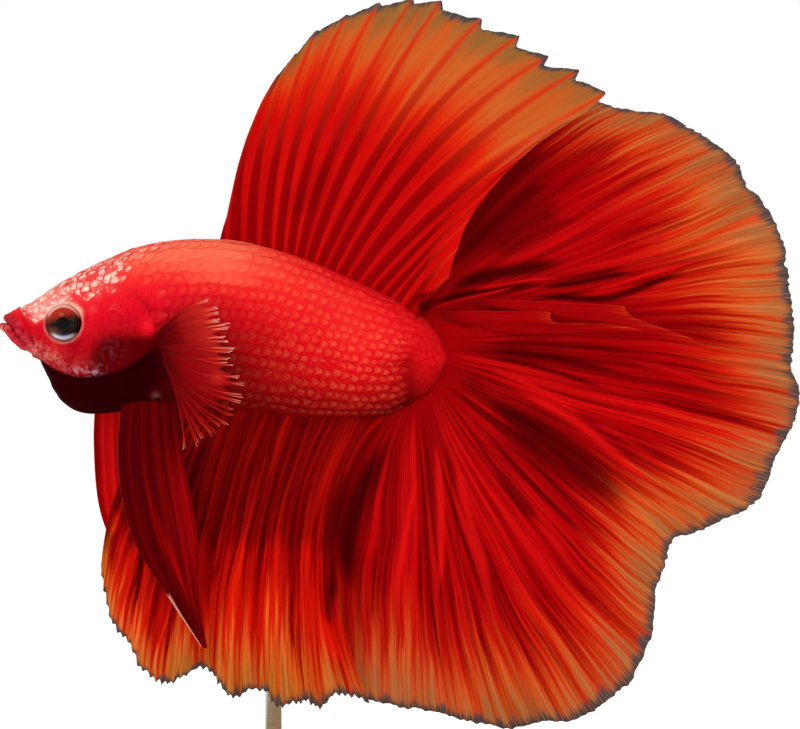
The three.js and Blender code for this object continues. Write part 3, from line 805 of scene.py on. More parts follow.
def make_eye(word, side, material):
    """An eyeball drawn as rings from its front pole to its back pole, with a slight corneal swell."""
    rings = 40
    sides = 64
    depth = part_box("eye_left")[1].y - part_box("eye_left")[0].y
    flattening = depth / MM / 2 / EYE_RADIUS
    polar = np.pi * np.arange(1, rings + 1) / (rings + 1)
    turn = 2 * np.pi * np.arange(sides) / sides
    cornea = 0.1
    swell = cornea * hump(np.sin(polar), 0.7) * (polar < np.pi / 2)
    radius = EYE_RADIUS * np.sin(polar)
    out = EYE_RADIUS * flattening * np.cos(polar) + swell
    x = EYE_X + radius[:, None] * np.cos(turn)
    z = EYE_Z + side * radius[:, None] * np.sin(turn)
    y = side * (EYE_SIDE + np.repeat(out[:, None], sides, axis=1))
    front = (EYE_X, side * (EYE_SIDE + EYE_RADIUS * flattening + cornea), EYE_Z)
    back = (EYE_X, side * (EYE_SIDE - EYE_RADIUS * flattening), EYE_Z)
    points = np.vstack([np.stack([x, y, z], -1).reshape(-1, 3), front, back])
    faces = [face[::-1] for face in ring_faces(rings, sides)]
    eye = mesh_object(f"eyeball_{word}", points, faces)
    eye.data.materials.append(material)
    settle(eye, "eye", f"eye_{word}")


wet_eye = eye_material()
make_eye("left", -1, wet_eye)
make_eye("right", 1, wet_eye)


# ---- Scales ----
# Overlapping shield-shaped scales of clear horn over coloured skin, in staggered rows from behind the head
# to the tail base, with smaller uneven plates over the forehead. Each is seated in the skin by its front
# end and lies back over the next.

SCALE_ROWS = 34  # rows of scales round the body
PLATE_ROWS = 42  # rows of the small uneven plates over the forehead


def rim_of(grid):
    """The numbers round the edge of a grid of numbered points, in order."""
    return np.concatenate([grid[:, 0], grid[-1, 1:], grid[-2::-1, -1], grid[0, -2:0:-1]])


def shield_scale():
    """One scale, a unit long and a unit to each side: front end sunk, rear edge rounded and raised."""
    columns = 7
    rows = 6
    across, lie = np.meshgrid(np.linspace(-1, 1, columns), np.linspace(0, 1, rows), indexing="ij")
    length = lie * (1 - 0.36 * np.abs(across) ** 2.2)
    width = across * (0.82 + 0.18 * np.sin(np.pi * np.minimum(lie * 1.25, 1)))
    arch = 0.35 * (1 - across ** 2) * ease(0, 0.5, lie)
    height = -0.6 + 1.1 * ease(-0.1, 1.0, lie) + arch
    top = np.stack([length, width, height], -1).reshape(-1, 3)
    grid = np.arange(columns * rows).reshape(columns, rows)
    rim = rim_of(grid)
    under = top[rim] * (0.97, 0.97, 0) + (0.01, 0, -1.2)
    quads = np.stack([grid[1:, :-1], grid[1:, 1:], grid[:-1, 1:], grid[:-1, :-1]], -1).reshape(-1, 4)
    low = len(top) + np.arange(len(rim))
    walls = np.stack([low, np.roll(low, -1), np.roll(rim, -1), rim], -1)
    faces = quads.tolist() + walls.tolist() + [low[::-1].tolist()]
    store = {
        label: np.concatenate([values.ravel(), values.ravel()[rim]])
        for label, values in (("lie", lie), ("across", across))
    }
    scale = mesh_object("scale_pattern", np.vstack([top, under]) / MM, faces, store)
    rim_pairs = {frozenset(pair) for pair in zip(rim.tolist(), np.roll(rim, -1).tolist())}
    for edge in scale.data.edges:
        edge.use_edge_sharp = frozenset(edge.vertices) in rim_pairs
    return scale


def grown(source, tree, name, settings):
    """Runs a Geometry Nodes tree on an object and returns its result as a plain mesh object."""
    modifier = source.modifiers.new(tree.name, "NODES")
    modifier.node_group = tree
    sockets = {item.name: item.identifier for item in tree.interface.items_tree if item.in_out == "INPUT"}
    for label, value in settings.items():
        modifier[sockets[label]] = value
    evaluated = source.evaluated_get(bpy.context.evaluated_depsgraph_get())
    mesh = bpy.data.meshes.new_from_object(evaluated)
    mesh.name = name
    source.modifiers.remove(modifier)
    bpy.data.objects.remove(source)
    made = bpy.data.objects.new(name, mesh)
    bpy.context.scene.collection.objects.link(made)
    return made


def scale_coat_tree():
    """Geometry Nodes that set a scale on every seat, with its turn, size and place on the skin's unwrap."""
    inputs = {"Seats": "Geometry", "Scale": "Object", "Patch": "Float", "Finish": "Material"}
    tree = group_of("scale_coat", "GeometryNodeTree", inputs, {"Coat": "Geometry"})
    entry = put(tree, "NodeGroupInput").outputs
    pattern = put(tree, "GeometryNodeObjectInfo", {"Object": entry["Scale"]})

    def stored(name, kind="FLOAT"):
        return put(tree, "GeometryNodeInputNamedAttribute", {"Name": name}, data_type=kind).outputs[0]

    turned = put(tree, "FunctionNodeEulerToRotation", {0: stored("turned", "FLOAT_VECTOR")})
    seated = put(tree, "GeometryNodeInstanceOnPoints", {
        "Points": entry["Seats"], "Instance": pattern.outputs["Geometry"],
        "Rotation": turned.outputs[0], "Scale": stored("size", "FLOAT_VECTOR"),
    })
    real = put(tree, "GeometryNodeRealizeInstances", {"Geometry": seated.outputs[0]})
    half_patch = math_of(tree, "MULTIPLY", entry["Patch"], 0.5)
    u = math_of(tree, "MULTIPLY_ADD", stored("across"), half_patch, stored("seat_u"))
    v = math_of(tree, "MULTIPLY_ADD", stored("lie"), entry["Patch"], stored("seat_v"))
    unwrap = put(tree, "ShaderNodeCombineXYZ", {0: u, 1: v})
    mapped = put(tree, "GeometryNodeStoreNamedAttribute", {
        "Geometry": real.outputs[0], "Name": "OFBake", "Value": unwrap.outputs[0],
    }, data_type="FLOAT2", domain="CORNER")
    finished = put(tree, "GeometryNodeSetMaterial", {
        "Geometry": mapped.outputs[0], "Material": entry["Finish"],
    })
    put(tree, "NodeGroupOutput", {"Coat": finished.outputs[0]})
    return tree


def scale_material():
    """Thin horn over the body's colours, paler amid each scale as its own paler middle and as painted
    highlight, with a fine darker rear edge.
    """
    material, tree, shader = finish_of("scale_horn", specular=0.06)
    shader.inputs["Specular Tint"].default_value = tint("ff5a48")
    colour = put(tree, "ShaderNodeGroup", node_tree=betta_markings).outputs["Colour"]
    lie = attribute_of(tree, "lie")
    tone = attribute_of(tree, "tone")
    scaly = attribute_of(tree, "scaly")
    cream = attribute_of(tree, "cream")
    bare = math_of(tree, "SUBTRACT", 1.0, attribute_of(tree, "dark"), clamp=True)
    across = math_of(tree, "ABSOLUTE", attribute_of(tree, "across"))
    grain = noise_of(tree, place_of(tree), 5200.0, detail=2.0)
    # the paler middle of each scale, partly the horn's own colour and partly painted highlight where light
    # falls on it
    middle = product_of(tree, span_of(tree, lie, 0.3, 0.65), span_of(tree, lie, 1.0, 0.75))
    middle = product_of(tree, middle, span_of(tree, across, 1.0, 0.1), bare)
    pale = product_of(tree, scaly, span_of(tree, grain, 0.35, 0.6, 0.15, 0.6))
    pale = product_of(tree, middle, pale, math_of(tree, "MULTIPLY_ADD", tone, 0.6, 0.5))
    cell = product_of(tree, middle, product_of(tree, cream, span_of(tree, tone, 0.3, 1.0, 0.1, 0.8)))
    edge_strength = math_of(tree, "MULTIPLY_ADD", scaly, 0.12, 0.02)
    edge = product_of(tree, span_of(tree, lie, 0.86, 0.98), edge_strength, bare)
    for share, layer in ((pale, "ff8254"), (cell, "fde6d4"), (edge, "8c0408")):
        colour = mix_of(tree, share, colour, tint(layer))
    rings = bump_of(tree, math_of(tree, "SINE", math_of(tree, "MULTIPLY", lie, 60.0)), 0.00001, 0.4)
    dress(tree, shader, colour, span_of(tree, tone, 0.0, 1.0, 0.34, 0.5), rings)
    return material


def seat_rows(first_x, last_x, rows, pitch):
    """Seats in staggered rows: share along the body, turn round it, and the pitch both ways."""
    seats = []
    x = first_x
    while x < last_x:
        step = pitch(x)
        for row in range(rows):
            seat_x = x + (0.5 * step if row % 2 else 0.0)
            along = (seat_x - SNOUT_X) / (TAIL_BASE_X - SNOUT_X)
            turn = 2 * np.pi * (row + 0.5) / rows
            seats.append((min(along, 0.995), crowded(turn), step))
        x += step
    along, turn, step = np.array(seats).T
    x = SNOUT_X + (TAIL_BASE_X - SNOUT_X) * along
    girth = np.hypot((back_height(x) - belly_height(x)) / 2, half_width(x))
    return along, turn, step, 2 * np.pi * girth * 0.62 / rows


# The upper edge of the bare cheek and gill cover.
CHEEK_TOP = [(-37, 54.2), (-31, 54.4), (-28.6, 56), (-26.8, 55.4), (-25.2, 54), (-24.2, 52.1)]


def bare_skin(x, z):
    """True where the skin carries no scales."""
    snout = x < -36.2
    socket = np.hypot(x - EYE_X, z - EYE_Z) < 2.275
    cheek = (x < -24.4) & (z < np.interp(x, *zip(*CHEEK_TOP)))
    throat = (z < 47.3) & (x < -23.5)
    tail_base_end = x > -0.1 + 2 * ease(49.4, 51.4, z)
    dorsal_root = (x > -15.5) & (z > back_height(x) - 0.45)
    anal_root = (x > -22) & (z < belly_height(x) + 0.4)
    return snout | socket | cheek | throat | tail_base_end | dorsal_root | anal_root


def make_scales(name, rows_of_seats, lift, uneven, material, tree, seed):
    """Seats the scales on the finished skin and grows them; uneven is how irregular their rows are."""
    along, turn, step, row_pitch = rows_of_seats
    random = np.random.default_rng(seed)
    along = along + uneven * random.uniform(-0.006, 0.006, len(along))
    turn = turn + uneven * random.uniform(-0.05, 0.05, len(turn))
    place = skin_place(along, turn)
    kept = ~bare_skin(place[:, 0], place[:, 2])
    along, turn, step, row_pitch, place = (values[kept] for values in (along, turn, step, row_pitch, place))
    tilt = random.normal(0, 0.02 + 0.2 * uneven, (len(along), 2))
    swell = 1 + uneven * random.uniform(-0.25, 0.15, len(along))
    tailward, across, outward = body_lie(along, turn)
    matrices = np.stack([tailward + tilt[:, :1] * across, across - tilt[:, :1] * tailward, outward], -1)
    turned = [Matrix(matrix).to_euler() for matrix in matrices]
    store = {
        **fish_marks(place[:, 0], place[:, 2]),
        "tone": random.uniform(0, 1, len(along)),
        "seat_u": turn / (2 * np.pi) / 1.01 + 0.003,
        "seat_v": along * 0.99,
    }
    seats = mesh_object(name + "_seats", place, [], store)
    size = np.stack([1.62 * step * swell, 0.58 * row_pitch * swell, np.full(len(step), lift)], -1) * MM
    for label, vectors in (("turned", turned), ("size", size)):
        layer = seats.data.attributes.new(label, "FLOAT_VECTOR", "POINT")
        layer.data.foreach_set("vector", np.asarray(vectors, np.float32).ravel())
    pattern = shield_scale()
    coat = grown(seats, tree, name, {"Scale": pattern, "Patch": 0.003, "Finish": material})
    bpy.data.objects.remove(pattern)
    settle(coat, "skin")


def body_pitch(x):
    """Scales shorten from 1.05 mm behind the head to 0.82 mm on the tail base."""
    return np.interp(x, (-27, 4), (1.05, 0.82))


scale_horn = scale_material()
scale_coat = scale_coat_tree()
plate_seats = seat_rows(-36.2, -26.4, PLATE_ROWS, lambda x: 0.85)
body_seats = seat_rows(-26.6, 2.8, SCALE_ROWS, body_pitch)
make_scales("head_plates", plate_seats, 0.03, 1, scale_horn, scale_coat, 41)
make_scales("body_scales", body_seats, 0.026, 0.35, scale_horn, scale_coat, 42)


# ---- Tail fin ----
# The great fan, a little over half a circle, of silky membrane stretched between bony rays that fork twice.
# The membrane is one thin closed sheet that dips between the rays, and the rays are fine tapered rods laid
# along it. They spring from the rounded tail base and run out in folds, like a curtain's, to a frayed rim.

# A point on a fin is given by spread, 0 to 1 across its rays, and reach, 0 at the root to 1 at the rim.
FIN_EDGE = 0.05  # half the membrane's thickness at the rim
FIN_ROOT = 0.13  # half the membrane's thickness at the root


def wander(seed, count, smooth=True):
    """A repeatable wavering function of 0 to 1, from -1 to 1, with count turns."""
    heights = np.random.default_rng(seed).uniform(-1, 1, count + 1)

    def value(t):
        place = np.clip(t, 0, 1) * count
        whole = np.minimum(np.floor(place).astype(int), count - 1)
        part = place - whole
        if smooth:
            part = part * part * (3 - 2 * part)
        return heights[whole] * (1 - part) + heights[whole + 1] * part

    return value


def by_number(rows):
    """A smooth function of 0 to 1 that gives x and z along points counted off evenly."""
    curve = smooth_curve(rows, 12)
    last = len(curve) - 1

    def point(t):
        place = np.clip(t, 0, 1) * last
        return [np.interp(place, np.arange(last + 1), values) for values in curve.T]

    return point


def along_ray(root, middle, tip, reach, longer=0):
    """A point on a ray through its root, middle and tip, seen from the side; longer moves the tip out."""
    run = np.hypot(tip[0] - middle[0], tip[1] - middle[1])
    near = (1 - reach) * (1 - 2 * reach)
    half = 4 * reach * (1 - reach)
    far = reach * (2 * reach - 1)
    return [
        near * r + half * m + far * (t + longer * (t - m) / run)
        for r, m, t in zip(root, middle, tip)
    ]


def forked_rays(count, seed, dip=0.3, first=(0.3, 0.5), second=(0.62, 0.8), parting=(0.25, 0.125)):
    """A fin's rays: the gaps between them, the membrane's dip, where each ray forks and how far it parts."""
    random = np.random.default_rng(seed)
    return {
        "count": count,
        "dip": dip,
        "first": random.uniform(*first, count + 1),
        "second": random.uniform(*second, count + 1),
        "parting": parting,
    }


def fork_offsets(rays, ray, reach):
    """How far the two forkings have parted at a reach, in shares of the gap between rays."""
    first = rays["first"][ray]
    second = rays["second"][ray]
    wide, narrow = rays["parting"]
    return wide * ease(first, first + 0.3, reach), narrow * ease(second, second + 0.22, reach)


def between_rays(rays, spread, reach):
    """0 on a ray and 1 halfway to the next, following the forks; and the gap's width share."""
    phase = np.clip(spread, 0, 1) * rays["count"]
    ray = np.rint(phase).astype(int)
    first, second = fork_offsets(rays, ray, reach)
    away = np.abs(np.abs(np.abs(phase - ray) - first) - second)
    half_gap = 0.5 - first - second
    return np.clip(away / half_gap, 0, 1), 2 * half_gap


def folds_of(folds, x, z):
    """Light (1) and shade (-1) of a fin's folds, and how far they stand out, from lines along them."""
    tone = np.zeros(np.shape(x))
    lift = np.zeros(np.shape(x))
    for light, width, *knots in folds:
        low = np.min(knots, axis=0) - 2.5 * width
        high = np.max(knots, axis=0) + 2.5 * width
        near = (x > low[0]) & (x < high[0]) & (z > low[1]) & (z < high[1])
        distance, share, _ = from_line(knots, x[near], z[near])
        taper = ease(-0.1, 0.4, share) * ease(1.1, 0.6, share)
        fading = ease(0, 0.3, share) * ease(1, 0.7, share)
        amount = hump(distance, width * (0.35 + 0.65 * taper)) * fading
        tone[near] = tone[near] * (1 - amount) + light * amount
        lift[near] += light * min(width, 0.7) * amount
    return tone, lift


def membrane(name, place, marks, rays, columns, rows, root=FIN_ROOT, edge=FIN_EDGE):
    """The thin closed sheet of a fin, which dips between its rays most where the gap is widest."""
    spread, reach = np.meshgrid(np.linspace(0, 1, columns), np.linspace(0, 1, rows), indexing="ij")
    valley, gap = between_rays(rays, spread, reach)
    middle = place(spread, reach)
    both = {"spread": spread, "reach": reach, "near_ray": 1 - valley, **marks(spread, reach, middle)}
    middle[..., 1] += rays["dip"] * gap * np.sqrt(reach) * (valley - 0.5)
    half = root + (edge - root) * reach
    offset = np.stack([np.zeros_like(half), half, np.zeros_like(half)], -1)
    points = np.concatenate([(middle - offset).reshape(-1, 3), (middle + offset).reshape(-1, 3)])
    back = columns * rows
    grid = np.arange(back).reshape(columns, rows)
    quads = np.stack([grid[:-1, :-1], grid[1:, :-1], grid[1:, 1:], grid[:-1, 1:]], -1).reshape(-1, 4)
    rim = rim_of(grid)
    after = np.roll(rim, -1)
    walls = np.stack([after, rim, rim + back, after + back], -1)
    faces = np.concatenate([quads, quads[:, ::-1] + back, walls])
    if spin_of(points, faces) < 0:
        faces = faces[:, ::-1]
    attributes = {label: np.tile(values.ravel(), 2) for label, values in both.items()}
    return mesh_object(name, points, faces.tolist(), attributes)


def spin_of(points, faces):
    """Six times the volume inside a closed shape, less than zero if its faces point inwards."""
    first, second, third, fourth = (points[faces[:, i]] for i in range(4))
    parts = np.einsum("ij,ij->i", first, np.cross(second, third))
    return (parts + np.einsum("ij,ij->i", first, np.cross(third, fourth))).sum()


def ray_rods_tree():
    """Geometry Nodes that turn ray lines into tapered rods. Width is stored on the lines in metres."""
    inputs = {"Lines": "Geometry", "Sides": "Int", "Finish": "Material"}
    tree = group_of("ray_rods", "GeometryNodeTree", inputs, {"Rods": "Geometry"})
    entry = put(tree, "NodeGroupInput").outputs
    width = put(tree, "GeometryNodeInputNamedAttribute", {"Name": "width"}, data_type="FLOAT")
    curves = put(tree, "GeometryNodeMeshToCurve", {"Mesh": entry["Lines"]})
    section = put(tree, "GeometryNodeCurvePrimitiveCircle", {"Resolution": entry["Sides"], "Radius": 1.0})
    rods = put(tree, "GeometryNodeCurveToMesh", {
        "Curve": curves.outputs[0], "Profile Curve": section.outputs[0],
        "Scale": width.outputs[0], "Fill Caps": True,
    })
    soft = put(tree, "GeometryNodeSetShadeSmooth", {"Geometry": rods.outputs[0]})
    real = put(tree, "GeometryNodeRealizeInstances", {"Geometry": soft.outputs[0]})
    finished = put(tree, "GeometryNodeSetMaterial", {
        "Geometry": real.outputs[0], "Material": entry["Finish"],
    })
    put(tree, "NodeGroupOutput", {"Rods": finished.outputs[0]})
    return tree


ray_rods = ray_rods_tree()


def fin_rods(name, place, marks, rays, material, thick=0.1, thin=0.04, forks=2):
    """The rays of a fin as rods: a trunk, two branches from the first fork and four from the second."""
    proud = 0.02
    spreads = []
    reaches = []
    edges = []
    for ray in range(rays["count"] + 1):
        first = rays["first"][ray]
        second = rays["second"][ray]
        ends = [0, first, second][:forks + 1] + [1.0]
        stretches = [(ends[0], ends[1], 0, 0)]
        if forks >= 1:
            stretches += [(ends[1], ends[2], side, 0) for side in (-1, 1)]
        if forks == 2:
            stretches += [(ends[2], ends[3], side, part) for side in (-1, 1) for part in (-1, 1)]
        for start, stop, side, part in stretches:
            reach = np.linspace(start, stop, max(4, int(60 * (stop - start)) + 2))
            first_part, second_part = fork_offsets(rays, ray, reach)
            phase = ray + side * first_part + part * second_part
            if phase.min() < -0.001 or phase.max() > rays["count"] + 0.001:
                continue
            base = sum(len(part_reach) for part_reach in reaches)
            spreads.append(phase / rays["count"])
            reaches.append(reach)
            edges.extend((base + i, base + i + 1) for i in range(len(reach) - 1))
    spread = np.concatenate(spreads)
    reach = np.concatenate(reaches)
    points = place(spread, reach)
    gap = between_rays(rays, spread, reach)[1]
    points[:, 1] -= 0.5 * rays["dip"] * gap * np.sqrt(reach) + proud
    store = {
        "width": (thick + (thin - thick) * reach) * MM,
        "spread": spread, "reach": reach, "near_ray": np.ones_like(reach), **marks(spread, reach, points),
    }
    lines = mesh_object(name + "_lines", points, [], store, edges)
    return grown(lines, ray_rods, name, {"Sides": 6, "Finish": material})


def fin_colours_group():
    """A fin's colours: deep red with streaks, turning orange and brown outside, and slate at the rim, with
    painted light and shade over its folds and in the dips between rays.
    """
    amounts = ("Streaks", "Contrast", "Tongues", "Bands", "Grooves", "Turning", "Waver")
    tints = ("Root", "Middle", "Dark", "Bright", "Outer", "Brown", "Rim")
    inputs = {**dict.fromkeys(amounts, "Float"), **dict.fromkeys(tints, "Color")}
    group = group_of("fin_colours", "ShaderNodeTree", inputs, {"Colour": "Color", "Relief": "Float"})
    entry = put(group, "NodeGroupInput").outputs
    spread, reach, near, tone, orange, rough = (
        attribute_of(group, name) for name in ("spread", "reach", "near_ray", "tone", "orange", "rough")
    )
    rough = product_of(group, rough, entry["Contrast"])
    flow = put(group, "ShaderNodeCombineXYZ", {
        0: product_of(group, spread, 14), 1: product_of(group, reach, 3.5),
    })
    bent = nudged_of(group, spread, noise_of(group, flow.outputs[0], 1, detail=1), entry["Waver"])

    def streaks(times, stretch):
        """Noise drawn out along the rays."""
        across = product_of(group, bent, product_of(group, entry["Streaks"], times))
        vector = put(group, "ShaderNodeCombineXYZ", {0: across, 1: product_of(group, reach, stretch)})
        return noise_of(group, vector.outputs[0], 1, detail=2)

    def share(strength, value, low, high):
        """How much of a colour shows as a value runs from low to high."""
        return product_of(group, span_of(group, value, low, high), strength)

    def streaked(colour, *layers):
        """A colour with streaks of others laid over it, each as strong as the fin is rough."""
        for strength, value, low, high, layer in layers:
            amount = product_of(group, share(strength, value, low, high), rough)
            colour = mix_of(group, amount, colour, layer)
        return colour

    broad = streaks(0.25, 1)
    fine = streaks(1, 1.2)
    hair = streaks(3.4, 1.6)
    bristle = streaks(9, 2)
    level = nudged_of(group, reach, broad, 0.4)
    level = nudged_of(group, level, fine, 0.3)
    level = nudged_of(group, level, hair, 0.25)
    bright = entry["Bright"]
    dark = entry["Dark"]
    inner = streaked(
        mix_of(group, span_of(group, level, 0, 0.45), entry["Root"], entry["Middle"]),
        (0.5, broad, 0.5, 0.64, bright), (0.5, broad, 0.48, 0.36, dark),
        (0.5, fine, 0.5, 0.66, bright), (0.65, fine, 0.48, 0.34, dark),
        (0.36, hair, 0.5, 0.4, dark), (0.24, hair, 0.54, 0.62, bright),
    )
    outward = math_of(group, "SUBTRACT", level, product_of(group, near, entry["Tongues"]))
    outward = math_of(group, "SUBTRACT", outward, orange)
    turning = product_of(group, span_of(group, outward, -0.24, 0.04), entry["Turning"])
    inner = mix_of(group, turning, inner, tint("dc300c"))
    outer_share = span_of(group, outward, -0.1, 0.14)
    outer = streaked(
        mix_of(group, share(0.9, level, 0.84, 1), entry["Outer"], entry["Brown"]),
        (0.35, hair, 0.52, 0.64, tint("e67c3a")), (0.5, hair, 0.48, 0.38, tint("a03c0c")),
        (0.3, bristle, 0.47, 0.36, tint("8c300c")), (0.2, fine, 0.52, 0.62, tint("c87a48")),
        (0.5, fine, 0.46, 0.36, tint("e0380e")),
    )
    colour = mix_of(group, outer_share, inner, outer)
    # painted shade in the dips of the membrane between rays, broken up by streaks
    dip_shade = product_of(group, span_of(group, near, 0.4, 0.05), span_of(group, fine, 0.6, 0.42, 0.3, 1))
    dip_shade = product_of(group, dip_shade, product_of(group, rough, entry["Grooves"]))
    colour = mix_of(group, dip_shade, colour, mix_of(group, outer_share, dark, tint("9c2408")))
    band_edge = math_of(group, "MULTIPLY_ADD", reach, 0.66, 0.26)
    band = span_of(group, math_of(group, "SUBTRACT", near, band_edge), -0.16, 0.14)
    band_colour = mix_of(group, span_of(group, reach, 0.35, 0.9), dark, tint("ce2a10"))
    colour = mix_of(group, product_of(group, band, entry["Bands"]), colour, band_colour)
    # painted light and shade from the tone attribute: lit folds towards bright red, or pale orange outside,
    # shaded ones towards near-black maroon
    light = mix_of(group, outer_share, bright, tint("f08048"))
    colour = mix_of(group, share(0.8, tone, 0, 1), colour, light)
    colour = mix_of(group, share(0.9, tone, 0, -1), colour, tint("380003"))
    ragged = nudged_of(group, nudged_of(group, reach, bristle, -0.08), fine, -0.08)
    rim_colour = mix_of(group, span_of(group, bristle, 0.5, 0.68), entry["Rim"], tint("9c7858"))
    colour = mix_of(group, share(0.92, ragged, 0.968, 0.995), colour, rim_colour)
    put(group, "NodeGroupOutput", {"Colour": colour, "Relief": math_of(group, "ADD", hair, fine)})
    return group


fin_colours = fin_colours_group()


def fin_material(name, **looks):
    """Silky membrane, a satin sheet with streaks along its rays; looks are what one fin has of its own."""
    material, tree, shader = finish_of(name, specular=0.07)
    shader.inputs["Specular Tint"].default_value = tint("ff4a30")
    usual = {
        "Streaks": 60, "Contrast": 1, "Tongues": 0.1, "Bands": 0, "Grooves": 0.6, "Turning": 0.6,
        "Waver": 0.015, "Root": "960206", "Middle": "aa0207", "Dark": "620003", "Bright": "de1010",
        "Outer": "d86424", "Brown": "98643a", "Rim": "364044",
    }
    inputs = {
        label: tint(value) if isinstance(value, str) else value
        for label, value in {**usual, **looks}.items()
    }
    colour, relief = put(tree, "ShaderNodeGroup", inputs, node_tree=fin_colours).outputs
    satin = span_of(tree, relief, 0.6, 1.4, 0.45, 0.62)
    dress(tree, shader, colour, satin, bump_of(tree, relief, 0.0001, 0.6))
    return material


def frayed(seed, teeth, large, small, fine):
    """The frayed rim of a fin in millimetres: fine teeth, small ones of uneven length and larger nicks."""
    nicks = wander(seed, teeth // 5)
    uneven = wander(seed + 1, teeth, smooth=False)
    hairs = wander(seed + 2, teeth * 3, smooth=False)
    return lambda spread: large * nicks(spread) + small * uneven(spread) + fine * hairs(spread)


def settle_fin(node, sheet, rods, material):
    """Fixes a fin's membrane and rays to the fish in place of its solid."""
    sheet.data.materials.append(material)
    for piece in (sheet, rods):
        settle(piece, "fin", node)


def smooth_place(rows):
    """A smooth place, x and z, for the first number of each row."""
    x_of = smooth_value([(first, x) for first, x, z in rows])
    z_of = smooth_value([(first, z) for first, x, z in rows])
    return lambda value: (x_of(value), z_of(value))


TAIL_TOP = 76
TAIL_BOTTOM = -112
TAIL_MIDPOINT = (4.5, 48.2)
# The rim's distance from that midpoint, by angle.
TAIL_REACH = smooth_value([
    (-112, 33), (-104, 34.6), (-98, 34.9), (-92, 35.2), (-86, 35.8), (-80, 36.8), (-75, 36.6), (-70, 37.6),
    (-64, 37), (-60, 36.6), (-56, 35), (-51, 33), (-46, 30.9), (-41, 29.9), (-37, 29.2), (-34, 30.2),
    (-29, 31.9), (-24, 33.8), (-20, 34.3), (-15, 34.2), (-10, 34.8), (-5, 35.5), (0, 34.7), (5, 35),
    (10, 34.8), (16, 35.1), (20, 35.7), (24, 36.1), (28, 35.8), (31, 35.4), (34, 35.8), (38, 35.3),
    (42, 34.7), (46, 34.2), (50, 33.4), (54, 32), (58, 31.1), (62, 30.7), (68, 30), (76, 29),
])
# Where each ray passes halfway out, by the angle at which it reaches the rim.
TAIL_MIDDLE = smooth_place([
    (-112, -9, 33.6), (-104, -3.8, 30.6), (-96, 0.6, 28.8), (-86, 4.2, 28.5), (-76, 7, 29.2),
    (-66, 9.5, 30.6), (-56, 11.6, 33.2), (-46, 13.8, 37), (-37, 15.8, 40.2), (-30, 16.8, 41.6),
    (-22, 17.5, 43), (-14, 18.7, 45), (-6, 20.2, 47.8), (2, 21, 51.2), (10, 21, 53.8),
    (18, 20.5, 56), (26, 19.8, 58), (34, 18.4, 60.8), (42, 15.8, 63.8), (50, 12.8, 65.4),
    (58, 9.6, 66), (67, 6.6, 65), (76, 3.8, 62.8),
])
TAIL_ROOT = smooth_place([
    (-112, 0.2, 44.8), (-80, 2.2, 45.3), (-40, 3.7, 47), (-5, 3.9, 49.8),
    (10, 3.4, 51.4), (30, 2.4, 52.8), (50, 1.4, 53.3), (76, 0.4, 53.4),
])
TAIL_SWAY = smooth_value([
    (-112, 3.4), (-98, 3), (-84, -0.2), (-68, -2.4), (-53, -0.8), (-38, 3), (-26, 0.6),
    (-13, -2), (-2, 0.4), (10, -2.6), (22, -0.4), (36, 2.6), (56, 3.6), (76, 3.4),
])
# Where along its rays the red turns orange, by angle.
TAIL_ORANGE = smooth_value([
    (-112, 0.8), (-100, 0.76), (-92, 0.76), (-80, 0.78), (-68, 0.82), (-58, 0.88), (-48, 0.84), (-38, 0.76),
    (-31, 0.76), (-24, 0.82), (-14, 0.9), (-5, 0.86), (5, 0.8), (16, 0.76), (26, 0.76), (38, 0.8),
    (52, 0.82), (76, 0.86),
])
